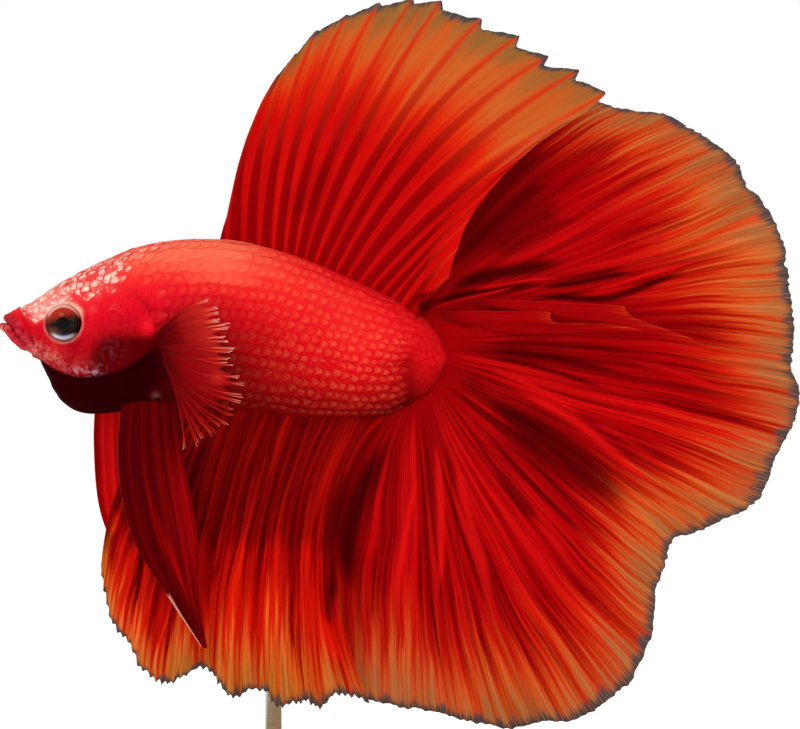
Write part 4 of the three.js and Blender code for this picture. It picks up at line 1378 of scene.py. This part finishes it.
# Each fold: how light it is painted, from painted shade (-1) to painted light (1), its half-width, and the
# line it follows.
TAIL_FOLD_LINES = [
    # the deep shade behind the dorsal fin, and the soft ridges beyond it
    (-0.55, 2.1, (5, 57), (8, 60.5), (12, 64.5), (16, 68.2), (20, 71)),
    (-0.7, 1.2, (4.4, 56.5), (6.4, 60.5), (9.4, 65), (12.8, 68.6), (16.5, 71)),
    (-0.6, 1.8, (8, 58.5), (12.5, 62), (17.5, 65)),
    (0.35, 0.8, (13, 66), (17.5, 68.4), (22, 70.4)),
    (-0.4, 0.6, (14, 65.2), (18.5, 67.5), (25, 69.6)),
    (0.3, 1.3, (18, 62.2), (24, 64.3), (30, 66.2)),
    (-0.5, 0.35, (10, 60.3), (15, 62), (20, 63.6)),
    (-0.35, 0.5, (19, 60.3), (25, 62), (31, 63)),
    # the bunch of pleats from the upper corner of the tail base
    (-0.95, 0.8, (3.2, 55.2), (8, 57), (13, 57.9), (18, 59)),
    (0.15, 0.4, (6, 57.8), (12, 59.2), (18, 61)),
    (-1, 0.5, (1.8, 54.2), (6, 55.1), (11, 55.9), (15, 56.4)),
    (0.7, 0.16, (4.6, 55.6), (9.5, 56.1), (14, 56.8), (18.2, 56.6)),
    (0.6, 0.14, (14.5, 57.2), (19.5, 58.2), (24.5, 59.5), (28.5, 60.9)),
    (-0.7, 0.3, (14, 56.2), (18.5, 57.2), (24, 58.3)),
    (-1, 0.34, (11.5, 55.9), (17, 56.3), (21, 57.1), (24.6, 57.7)),
    (-1, 0.42, (9, 55), (15, 54.95), (20.5, 54.8), (23, 55.5), (26.5, 56.9), (30.5, 58.4)),
    (1, 0.2, (16.5, 55.3), (20.5, 55.9), (24.5, 57.1), (28, 58.1), (32.5, 59.8)),
    (0.5, 0.25, (26, 58), (29.8, 59.6), (33, 60.5), (37.5, 61.2)),
    (1, 0.34, (23.5, 56.8), (25.6, 57.5), (28.4, 58.1)),
    (0.9, 0.14, (2.2, 53.5), (5.5, 54.6), (9.5, 55.5), (12.3, 56.2)),
    # the tail's middle
    (-0.45, 0.3, (7, 52.1), (12, 51.1), (19, 51.1)),
    (-0.6, 0.4, (6.5, 50.3), (12.5, 50.3), (20, 49.9), (27, 48.8)),
    (-0.7, 0.6, (6.5, 50), (12, 49.4), (18, 48.4), (26, 46.2)),
    (-0.8, 0.35, (6.5, 49.1), (11.5, 48.5), (17, 47), (23, 44.8)),
    (0.55, 0.3, (21, 49), (27, 47.7), (34, 45)),
    (0.6, 0.4, (7.6, 47.9), (11.5, 46.8), (15.5, 44.8), (19.5, 42)),
    (0.45, 0.25, (22, 45.4), (28, 43.3), (34, 40.5)),
    # the bright ridge over the deep valley, down to the notch
    (-0.9, 1.2, (5.5, 46.6), (11, 43.2), (15.5, 40.2), (19.5, 37.2), (25, 32.6)),
    (-0.75, 1.9, (9, 43.6), (14, 40.6), (18.5, 37.4), (24, 32.6)),
    (0.85, 0.6, (9, 46.5), (13, 45), (17, 42.8), (20.4, 40.2), (24, 37), (28.6, 33)),
    (0.4, 0.4, (18, 43.6), (23, 40.4), (29, 36)),
    # the lower fan
    (-0.75, 0.26, (6, 44.6), (10, 39.9), (13.2, 36.4), (17.2, 32.4), (21.5, 27.6)),
    (-0.6, 0.2, (6.6, 45), (11, 40.6), (15.2, 36.6), (19.5, 32)),
    (-0.75, 0.3, (5.4, 44), (9, 38.6), (12.2, 34.6), (16.5, 29.8)),
    (-0.7, 0.8, (9.2, 38.6), (11.4, 35.4), (14, 32)),
    (0.75, 0.55, (5.3, 40.5), (6, 36.3), (7.2, 32), (8.5, 28), (9.6, 23.5)),
    (0.95, 0.45, (3.3, 42), (3.8, 38), (4.1, 33), (4.1, 28), (3.6, 24)),
    (0.85, 0.45, (2, 38.5), (1.2, 34.5), (0.3, 30), (-0.4, 26), (-1.2, 21)),
    (-0.3, 0.3, (2.6, 42), (2.6, 36), (2.3, 31), (2.2, 26)),
    (-0.45, 0.3, (4.5, 42), (5, 37), (5.6, 32), (6.2, 27)),
    (-0.9, 1.4, (0.6, 43.4), (-2.2, 39), (-4.2, 35), (-5.3, 31), (-5.2, 27), (-4.6, 23)),
    (-0.7, 0.25, (-2.3, 31), (-2.7, 26), (-2.9, 20)),
    (-0.7, 0.18, (3, 27.5), (3.2, 24), (3.8, 20), (4.2, 16.6)),
    (-0.5, 0.18, (7.5, 22.5), (8.5, 19), (9.5, 16)),
]
# The shaded corner between the tail and the dorsal fin.
DORSAL_CORNER = (2.4, 54.1)
tail_rays = forked_rays(34, seed=11)
tail_edge = frayed(21, 130, large=0.25, small=0.12, fine=0.12)
tail_pleats = wander(31, 60)


def tail_place(spread, reach):
    """A point on the tail fin's middle surface."""
    degrees = TAIL_TOP + (TAIL_BOTTOM - TAIL_TOP) * spread
    angle = np.radians(degrees)
    valley = between_rays(tail_rays, spread, np.ones_like(reach))[0]
    rim = TAIL_REACH(degrees)
    tip = (TAIL_MIDPOINT[0] + rim * np.cos(angle), TAIL_MIDPOINT[1] + rim * np.sin(angle))
    fray = tail_edge(spread) + 0.1 * (0.5 - valley)
    x, z = along_ray(TAIL_ROOT(degrees), TAIL_MIDDLE(degrees), tip, reach, fray)
    lift = folds_of(TAIL_FOLD_LINES, x, z)[1]
    pleats = 0.4 * tail_pleats(spread) * ease(0.05, 0.5, reach)
    return np.stack([x, TAIL_SWAY(degrees) * reach ** 0.75 - 0.8 * lift + pleats, z], -1)


def tail_marks(spread, reach, points):
    """The painted light and shade of the tail's folds and of a few places near its root and low front, and
    where its red turns orange.
    """
    x = points[..., 0]
    z = points[..., 2]
    tone = folds_of(TAIL_FOLD_LINES, x, z)[0]
    # painted shade near the root and in the corner under the dorsal fin, painted light over the low front
    tone = tone - 0.4 * spot(x, z, (7.2, 46.3), 1.6) - 0.15 * spot(x, z, (7, 51.6), 1.2)
    tone = tone - 0.9 * spot(x, z, DORSAL_CORNER, 0.9)
    low_front = ease(9, 5, x) * ease(27, 21, z)
    tone = tone + 0.3 * low_front * (1 - np.abs(tone))
    degrees = TAIL_TOP + (TAIL_BOTTOM - TAIL_TOP) * spread
    smoother = 1 - 0.5 * ease(-25, 15, degrees) * ease(0.8, 0.6, reach)
    orange = TAIL_ORANGE(degrees) + 0.03 * low_front
    return {"tone": tone, "orange": orange, "rough": smoother * ease(0.02, 0.18, reach)}


# Two loose folds of the membrane that lie over its middle: the root line and the rim of each.
TAIL_FLAPS = [
    ([(7, 54.9), (7.5, 54.4), (9, 54)],
     [(22.3, 54.05), (22.45, 53.5), (23.1, 52.9), (24.6, 52.3), (27.2, 51.4), (29.6, 50.5)]),
    ([(4, 53.6), (4.5, 52.9), (6.5, 52)],
     [(15.1, 53.5), (14.9, 53), (15.2, 52.5), (16.4, 52.15), (20, 52.3), (25, 51.5)]),
]
plain_rays = forked_rays(5, seed=16, dip=0.0, first=(1.1, 1.2), second=(1.4, 1.5))


def flap_place(number):
    """The middle surface of a loose fold, which stands further out towards its rim."""
    root_line, rim_line = (by_number(line) for line in TAIL_FLAPS[number - 1])

    def place(spread, reach):
        root_x, root_z = root_line(spread)
        tip_x, tip_z = rim_line(spread)
        x = root_x + (tip_x - root_x) * reach
        z = root_z + (tip_z - root_z) * reach
        y = -0.4 - 2.2 * (x - 4) / 20 - 0.5 * np.sin(np.pi * spread) * reach - 0.35 * reach
        return np.stack([x, y, z], -1)
    return place


def flap_marks(spread, reach, points):
    """Painted highlight along the fold's edges and rim and painted shade at its root, over red that turns
    orange towards the rim.
    """
    # painted highlight along the fold's edges and rim, and painted shade near its root
    edges = np.maximum(hump(spread, 0.06), hump(reach - 1, 0.025))
    return {
        "tone": 0.6 * edges - 0.5 * ease(0.3, 0, reach), "reach": 0.25 + 0.45 * reach,
        "orange": 0.95 - 0.2 * ease(0.6, 1, reach), "rough": np.full(np.shape(reach), 0.6),
    }


tail_silk = fin_material("tail_silk", Streaks=100.0)
settle_fin(
    "tail_fin",
    membrane("tail_membrane", tail_place, tail_marks, tail_rays, 540, 88),
    fin_rods("tail_rays", tail_place, tail_marks, tail_rays, tail_silk),
    tail_silk,
)
for number in (1, 2):
    flap = membrane(f"tail_fold_{number}", flap_place(number), flap_marks, plain_rays, 60, 60, 0.1, 0.05)
    flap.data.materials.append(tail_silk)
    settle(flap, "fin", "tail_fin")


# ---- Dorsal fin ----
# The same silky membrane, standing on the rear half of the back and leaning over the tail. Its rays don't
# fork: they are broad dark bands that narrow as they run out and end in points past the membrane.

# Each ray, front to back: its root, its middle and its tip.
DORSAL_RAYS = [
    ((-18.2, 59), (-17.6, 62), (-16.8, 64.2)), ((-16.4, 59.3), (-15.6, 69.4), (-12.2, 77.3)),
    ((-14.8, 59.3), (-13.9, 70.3), (-10.5, 79.4)), ((-13.4, 59.1), (-12, 70.8), (-8.4, 81.6)),
    ((-12.1, 58.9), (-10.2, 71.2), (-5.4, 83.1)), ((-11, 58.6), (-8.2, 71.4), (-2.2, 84.2)),
    ((-10.1, 58.3), (-6, 71.4), (1.2, 84.6)), ((-9.2, 58), (-3.7, 71.7), (4.1, 84.5)),
    ((-8.2, 57.6), (-1, 71.2), (8.1, 82.7)), ((-7.2, 57.1), (1.4, 71.2), (11.9, 81)),
    ((-6.2, 56.6), (3.2, 69.8), (14.8, 79)), ((-5.1, 56), (5, 68.2), (17.9, 77.6)),
    ((-4, 55.4), (6.4, 65.7), (20.5, 75.2)), ((-3, 54.8), (4.9, 63), (14.8, 71.1)),
    ((-2, 54.2), (3.6, 60.4), (9.9, 66.6)), ((-1, 53.6), (2.6, 58.2), (6.9, 62.6)),
    ((0.2, 52.9), (2.8, 56.6), (5.8, 59.8)), ((1.2, 52), (2.9, 54.9), (4.9, 57)),
]
# The dorsal fin's folds, as for the tail: how light it is painted, from painted shade (-1) to painted light
# (1), its half-width, and the line it follows.
DORSAL_FOLD_LINES = [
    (-0.35, 1.6, (-12, 62), (-9, 65.5), (-7, 70)),
    (0.45, 0.5, (2, 60.5), (5.5, 63.4), (9.2, 67), (14, 71), (19, 74.3)),
    (0.4, 0.7, (2.5, 58.5), (5.2, 61.4), (8, 64.8)),
    (0.5, 0.16, (-2.8, 66), (-1.5, 68.4), (0.2, 70.3)),
    (0.5, 0.16, (-1, 67.6), (0.6, 69.8), (2.2, 72.5)),
    (-0.5, 0.3, (0.5, 54.6), (4, 55.6), (7, 56.6)),
]
dorsal_guides = [by_number(places) for places in zip(*DORSAL_RAYS)]
dorsal_rays = forked_rays(len(DORSAL_RAYS) - 1, seed=12, dip=0.5, first=(1.1, 1.2), second=(1.4, 1.5))
dorsal_edge = frayed(22, 90, large=0.12, small=0.08, fine=0.06)


def dorsal_place(spread, reach):
    """A point on the dorsal fin's middle surface."""
    after_ray = np.mod(np.clip(spread, 0, 1) * dorsal_rays["count"], 1)
    trough = (1 - after_ray) * ease(0, 0.2, after_ray) * (0.35 + 1.1 * ease(0.2, 0.6, spread))
    trough = trough * (1 - 0.8 * ease(0.7, 0.78, spread))
    root, middle, tip = (guide(spread) for guide in dorsal_guides)
    x, z = along_ray(root, middle, tip, reach, dorsal_edge(spread) - trough * reach ** 4)
    lift = folds_of(DORSAL_FOLD_LINES, x, z)[1]
    lean = -2.6 * ease(0.1, 1.1, spread) * reach ** 0.8
    wave = 0.7 * np.sin(2 * np.pi * (1.6 * spread + 0.15)) * reach ** 1.5 * (1 - spread)
    return np.stack([x, lean + wave - 0.6 * lift, z], -1)


def dorsal_marks(spread, reach, points):
    """Light and shade, and an orange outer part that starts lower towards the rear."""
    x = points[..., 0]
    z = points[..., 2]
    tone = folds_of(DORSAL_FOLD_LINES, x, z)[0] - 0.9 * spot(x, z, DORSAL_CORNER, 0.9)
    orange = 0.86 - 0.2 * ease(0.1, 0.5, spread) + 0.5 * ease(0.7, 0.84, spread)
    behind = ease(0.68, 0.75, spread)
    tone = tone + 0.35 * behind * hump(reach - 0.9, 0.3) * (1 - np.abs(tone))
    return {
        "tone": tone, "reach": reach * (1 - 0.07 * behind), "orange": orange, "rough": np.ones_like(reach),
    }


dorsal_silk = fin_material(
    "dorsal_silk", Streaks=26.0, Contrast=0.25, Tongues=0.0, Bands=0.8, Grooves=0.0, Turning=0.8, Waver=0.01,
    Root="ba0609", Middle="c60a08", Dark="7c0004", Outer="c45a22", Brown="86602f",
)
settle_fin(
    "dorsal_fin",
    membrane("dorsal_membrane", dorsal_place, dorsal_marks, dorsal_rays, 480, 64),
    fin_rods("dorsal_rays", dorsal_place, dorsal_marks, dorsal_rays, dorsal_silk, 0.15, 0.05, forks=0),
    dorsal_silk,
)


# ---- Anal fin ----
# A deep curtain of the same silky membrane under the belly. Its rays fork once, sweep forward and then
# hang down to a torn, pointed rim.

# Guide rays, front to back: root, middle and tip.
ANAL_RAYS = [
    ((-22.8, 44.5), (-27.8, 36.8), (-30, 28)), ((-21.1, 44.4), (-26.8, 34.6), (-29.3, 24.5)),
    ((-20.4, 44.4), (-25.8, 32.8), (-28.4, 21.9)), ((-19.6, 44.4), (-24.7, 31.4), (-27.1, 20.4)),
    ((-18.6, 44.4), (-23.4, 30.2), (-25.8, 17.8)), ((-17.6, 44.4), (-22, 29.8), (-24.2, 16.7)),
    ((-16.5, 44.4), (-20.7, 29.8), (-22.8, 16.6)), ((-15.3, 44.4), (-19.4, 30), (-21.2, 17.5)),
    ((-14.2, 44.3), (-18.1, 30.2), (-19.2, 17.6)), ((-13, 44.2), (-16.9, 30.4), (-18.1, 16.3)),
    ((-11.8, 44), (-15.6, 30.6), (-16.7, 15)), ((-10.5, 43.8), (-14.2, 30.8), (-15.2, 15.8)),
    ((-9.2, 43.7), (-13, 31), (-13.5, 15.7)), ((-8, 43.7), (-11.8, 31), (-12.1, 14)),
    ((-6.8, 43.7), (-10.7, 31), (-10.5, 14.3)), ((-5.6, 43.7), (-9.7, 31), (-9.2, 14.5)),
    ((-4.4, 43.8), (-8.8, 31), (-8, 13.7)), ((-3.3, 43.9), (-8, 31.1), (-6.4, 15.3)),
    ((-2.2, 44.1), (-7.3, 31.3), (-4.9, 15.3)), ((-1.2, 44.4), (-6.7, 31.6), (-3, 14.4)),
]
# The anal fin's folds, as for the tail: how light it is painted, from painted shade (-1) to painted light
# (1), its half-width, and the line it follows.
ANAL_FOLD_LINES = [
    (0.15, 0.4, (-4.4, 42.4), (-6.6, 39), (-7.8, 35), (-8.3, 31), (-9.4, 27), (-10.2, 23)),
    (-0.9, 0.9, (-2.8, 40), (-5, 36.5), (-6.1, 32), (-6.3, 28), (-6.9, 24.5), (-7.2, 21)),
    (-0.5, 1.3, (-19.3, 42), (-20.6, 36.5), (-20.6, 30)),
    (0.5, 0.6, (-28.6, 34), (-28, 31), (-28, 28)),
    (-0.8, 0.35, (-25.4, 31), (-26, 27), (-26.6, 22.6)),
    (-0.7, 0.25, (-22, 26.5), (-23, 22), (-23.6, 17.6)),
    (-0.6, 0.25, (-24, 27.5), (-24.7, 23), (-25.2, 19.5)),
    (-0.7, 0.2, (-10.7, 27), (-10.9, 22.6), (-10.4, 18.5)),
    (-0.5, 0.25, (-17.4, 30), (-19, 26.5), (-19.4, 23)),
    (0.6, 0.7, (-7.8, 23.5), (-7, 20.5), (-5.8, 17.8)),
    (0.5, 0.2, (-16.2, 26.5), (-17.4, 22.5), (-17.5, 18.5)),
    (0.5, 0.3, (-14.6, 26), (-15.2, 22), (-14.8, 18)),
    (0.5, 0.2, (-12, 25), (-11.8, 21), (-11.2, 17)),
]
ANAL_SWAY = smooth_value([(0, 0.4), (0.2, -1.6), (0.38, 0.5), (0.55, -1.7), (0.72, -0.2), (1, -1.9)])
anal_guides = [by_number(places) for places in zip(*ANAL_RAYS)]
anal_rays = forked_rays(24, seed=13, dip=0.4, first=(0.55, 0.7), second=(1.2, 1.3))
anal_edge = frayed(23, 70, large=0.3, small=0.16, fine=0.1)
anal_pleats = wander(33, 40)


def anal_place(spread, reach):
    """A point on the anal fin's middle surface."""
    valley = between_rays(anal_rays, spread, np.ones_like(reach))[0]
    root, middle, tip = (guide(spread) for guide in anal_guides)
    x, z = along_ray(root, middle, tip, reach, anal_edge(spread) + 0.3 * (0.5 - valley))
    lift = folds_of(ANAL_FOLD_LINES, x, z)[1]
    sway = ANAL_SWAY(spread) * reach ** 0.8
    pleats = 0.45 * anal_pleats(spread) * ease(0.05, 0.6, reach)
    return np.stack([x, sway + pleats - 0.6 * lift, z], -1)


def anal_marks(spread, reach, points):
    """Painted shade over the inner half, which is also maroon of itself, a painted glow of light below it,
    and orange from two thirds out.
    """
    z = points[..., 2]
    tone = folds_of(ANAL_FOLD_LINES, points[..., 0], z)[0]
    # painted shade over the inner half and a painted glow of light below it
    inner = -0.55 * ease(27.5, 31.5, z + 1.2 * anal_pleats(spread))
    front = ease(0.12, 0.02, spread)
    glow = 0.4 * hump(z - 23.5, 4.5) * (1 - front)
    tone = np.clip(tone + (inner + glow) * (1 - np.abs(tone)), -1, 1)
    orange = 0.825 + 0.1 * anal_pleats(1 - spread) - 0.06 * front + 0.06 * ease(0.8, 1, spread)
    return {"tone": tone, "orange": orange, "rough": np.ones_like(reach)}


anal_silk = fin_material(
    "anal_silk", Streaks=40, Contrast=1, Tongues=0.14, Grooves=0.3, Waver=0.05,
    Outer="f47a1c", Bright="f41c08", Brown="bc762c",
)
settle_fin(
    "anal_fin",
    membrane("anal_membrane", anal_place, anal_marks, anal_rays, 480, 66),
    fin_rods("anal_rays", anal_place, anal_marks, anal_rays, anal_silk, forks=1),
    anal_silk,
)


# ---- Pectoral fins ----
# A small fan behind each gill cover, held away from the flank. Its membrane is thin and stops short,
# so the pale forked ray tips stand out like the ribs of a torn fan.

PECTORAL_X = -24
PECTORAL_Z = 50.7
PECTORAL_TOP = 33
PECTORAL_BOTTOM = -73
PECTORAL_REACH = smooth_value([
    (-73, 10.9), (-65, 11.1), (-56, 10.8), (-44, 10.7), (-34, 10.3), (-21, 8.5),
    (-15, 7.8), (-5, 7.3), (5, 7.1), (17, 7), (25, 7.3), (33, 7.3),
])
# How far each ray bows above the straight line from root to tip, from the top ray (0) to the lowest (1).
PECTORAL_BOW = smooth_value([(0, 0.45), (0.35, 0.05), (0.62, -0.9), (0.85, -0.4), (1, 0.6)])
pectoral_rays = forked_rays(
    13, seed=14, dip=0.2, first=(0.36, 0.6), second=(0.6, 0.84), parting=(0.17, 0.06),
)
pectoral_tips = frayed(24, 30, large=0.5, small=0.5, fine=0.4)
pectoral_gather = wander(34, 9)


def pectoral_place(side):
    """The middle surface of the left (-1) or right (1) pectoral fin."""
    def place(spread, reach):
        gathered = spread + 0.03 * pectoral_gather(spread)
        degrees = PECTORAL_TOP + (PECTORAL_BOTTOM - PECTORAL_TOP) * gathered
        angle = np.radians(degrees)
        rim = PECTORAL_REACH(degrees)
        root = (PECTORAL_X + 0.8 * spread, PECTORAL_Z + 0.5 - 3 * spread)
        tip = (PECTORAL_X + rim * np.cos(angle), PECTORAL_Z + rim * np.sin(angle))
        bow = (-PECTORAL_BOW(spread) * np.sin(angle), PECTORAL_BOW(spread) * np.cos(angle))
        middle = [(r + t) / 2 + b for r, t, b in zip(root, tip, bow)]
        x, z = along_ray(root, middle, tip, reach, pectoral_tips(spread))
        flare = 4.3 + 3.2 * reach ** 0.8 + 0.5 * np.sin(np.pi * spread) * reach
        return np.stack([x, side * flare, z], -1)
    return place


def pectoral_web(side):
    """The membrane's surface, which stops short of the ray tips and is scalloped between them."""
    def place(spread, reach):
        valley = between_rays(pectoral_rays, spread, np.ones_like(reach))[0]
        return pectoral_place(side)(spread, reach * (0.93 - 0.13 * valley - 0.14 * ease(0.5, 0.8, spread)))
    return place


def pectoral_marks(spread, reach, points):
    """The web: painted shade at the root and towards the lower edge, brighter out above, with one painted
    highlight.
    """
    low = ease(0.5, 0.75, spread)
    upper = ease(0.5, 0.2, spread)
    # painted shade at the root and along the lower edge, lighter out above
    tone = -0.25 * ease(0.5, 0.05, reach) - 0.45 * low + 0.25 * (1 - low) * ease(0.5, 0.9, reach)
    tone = tone + 0.35 * upper * ease(0.2, 0.55, reach)
    # a pale painted highlight on the web
    painted_highlight = hump(np.hypot(points[..., 0] + 17.9, 1.4 * (points[..., 2] - 46.9)), 0.7)
    still = np.zeros(np.shape(spread))
    return {"reach": 0.8 * reach, "tone": tone + 0.5 * painted_highlight, "orange": still + 2, "rough": still}


def pectoral_ray_marks(spread, reach, points):
    """The rays: dark at the root, bright red halfway and pale pink at the upper tips."""
    low = ease(0.45, 0.75, spread)
    tone = 0.6 * ease(0.2, 0.8, reach) * (1 - 0.6 * low) - 0.35 * ease(0.3, 0.0, reach)
    return {
        "tone": tone * ease(0.95, 0.8, reach), "reach": reach * (1 - 0.11 * low),
        "orange": 0.84 + 0.08 * low, "rough": np.zeros_like(reach),
    }


pectoral_silk = fin_material(
    "pectoral_silk", Streaks=14.0, Tongues=0.0, Root="5c0206", Middle="88050b", Bright="d82e26",
    Outer="e46a58", Brown="ea8a7a", Rim="eea494",
)
for side, word in ((-1, "left"), (1, "right")):
    web = pectoral_web(side)
    ribs = pectoral_place(side)
    settle_fin(
        f"pectoral_fin_{word}",
        membrane(f"pectoral_web_{word}", web, pectoral_marks, pectoral_rays, 200, 30, 0.05, 0.03),
        fin_rods(
            f"pectoral_rays_{word}", ribs, pectoral_ray_marks, pectoral_rays, pectoral_silk, 0.11, 0.045,
        ),
        pectoral_silk,
    )


# ---- Pelvic fins ----
# Two long blades of maroon membrane over five or six rays, each led by one spine with a pale tip, the left
# one painted darker as in shade and the right one painted lighter as lit. They hang from the belly and trail
# back to a point, the right one further forward.

PELVIC_EDGES = {
    "left": (
        [(-27.6, 44.6), (-27.8, 38.5), (-26.2, 31), (-22.6, 25), (-19.6, 20.4)],
        [(-22.4, 44.6), (-21.4, 38.5), (-20, 31), (-19.8, 25.6), (-19, 20.2)],
    ),
    "right": (
        [(-30.6, 44.4), (-30.9, 40), (-30.3, 33), (-27.4, 26.5), (-24, 22.4)],
        [(-26.4, 44.4), (-26, 38.5), (-25.2, 31), (-24.2, 26), (-23.4, 22.2)],
    ),
}
pelvic_rays = forked_rays(5, seed=15, dip=0.25, first=(0.4, 0.55), second=(1.2, 1.3))


def pelvic_place(side, word):
    """The middle surface of the left (-1) or right (1) pelvic fin."""
    front, rear = (by_number(edge) for edge in PELVIC_EDGES[word])

    def place(spread, reach):
        front_x, front_z = front(reach)
        rear_x, rear_z = rear(reach)
        x = front_x + (rear_x - front_x) * spread
        z = front_z + (rear_z - front_z) * spread
        y = 1.9 + 2.9 * np.sin(0.7 * np.pi * reach) + 0.5 * np.sin(np.pi * spread) * (1 - reach)
        fold = 0.35 * np.sin(2 * np.pi * (1.5 * spread + 0.3 * reach)) * ease(0, 0.4, reach) * (1 - reach)
        return np.stack([x, side * (y + fold), z], -1)
    return place


def pelvic_marks(light):
    """Maroon, lighter towards the rear edge; light is how bright the whole blade is painted, painted shade
    below 0 and painted light above 0.
    """
    def marks(spread, reach, points):
        tone = light + 0.35 * ease(0.5, 0.95, spread) * ease(0.1, 0.4, reach)
        tone = tone - 0.5 * hump(spread, 0.12) * (light > 0)
        tone = tone + 0.5 * hump(spread - 0.25 - 0.45 * reach, 0.07) * hump(reach - 0.55, 0.2)
        spine = (spread < 0.1) & (reach > 0.72)
        return {
            "tone": np.clip(tone, -1, 1), "reach": np.where(spine, 1.1, 0.8 * reach),
            "orange": np.full(np.shape(spread), 2.0), "rough": np.ones_like(reach),
        }
    return marks


pelvic_silk = fin_material("pelvic_silk", Streaks=9.0, Tongues=0.0, Rim="e09088")
# the same membrane painted in shade on the left blade and painted lit on the right
for side, word, light in ((-1, "left", -0.8), (1, "right", 0.9)):
    place = pelvic_place(side, word)
    marks = pelvic_marks(light)
    settle_fin(
        f"pelvic_fin_{word}",
        membrane(f"pelvic_web_{word}", place, marks, pelvic_rays, 90, 110, 0.1, 0.05),
        fin_rods(f"pelvic_rays_{word}", place, marks, pelvic_rays, pelvic_silk, 0.12, 0.05, forks=1),
        pelvic_silk,
    )
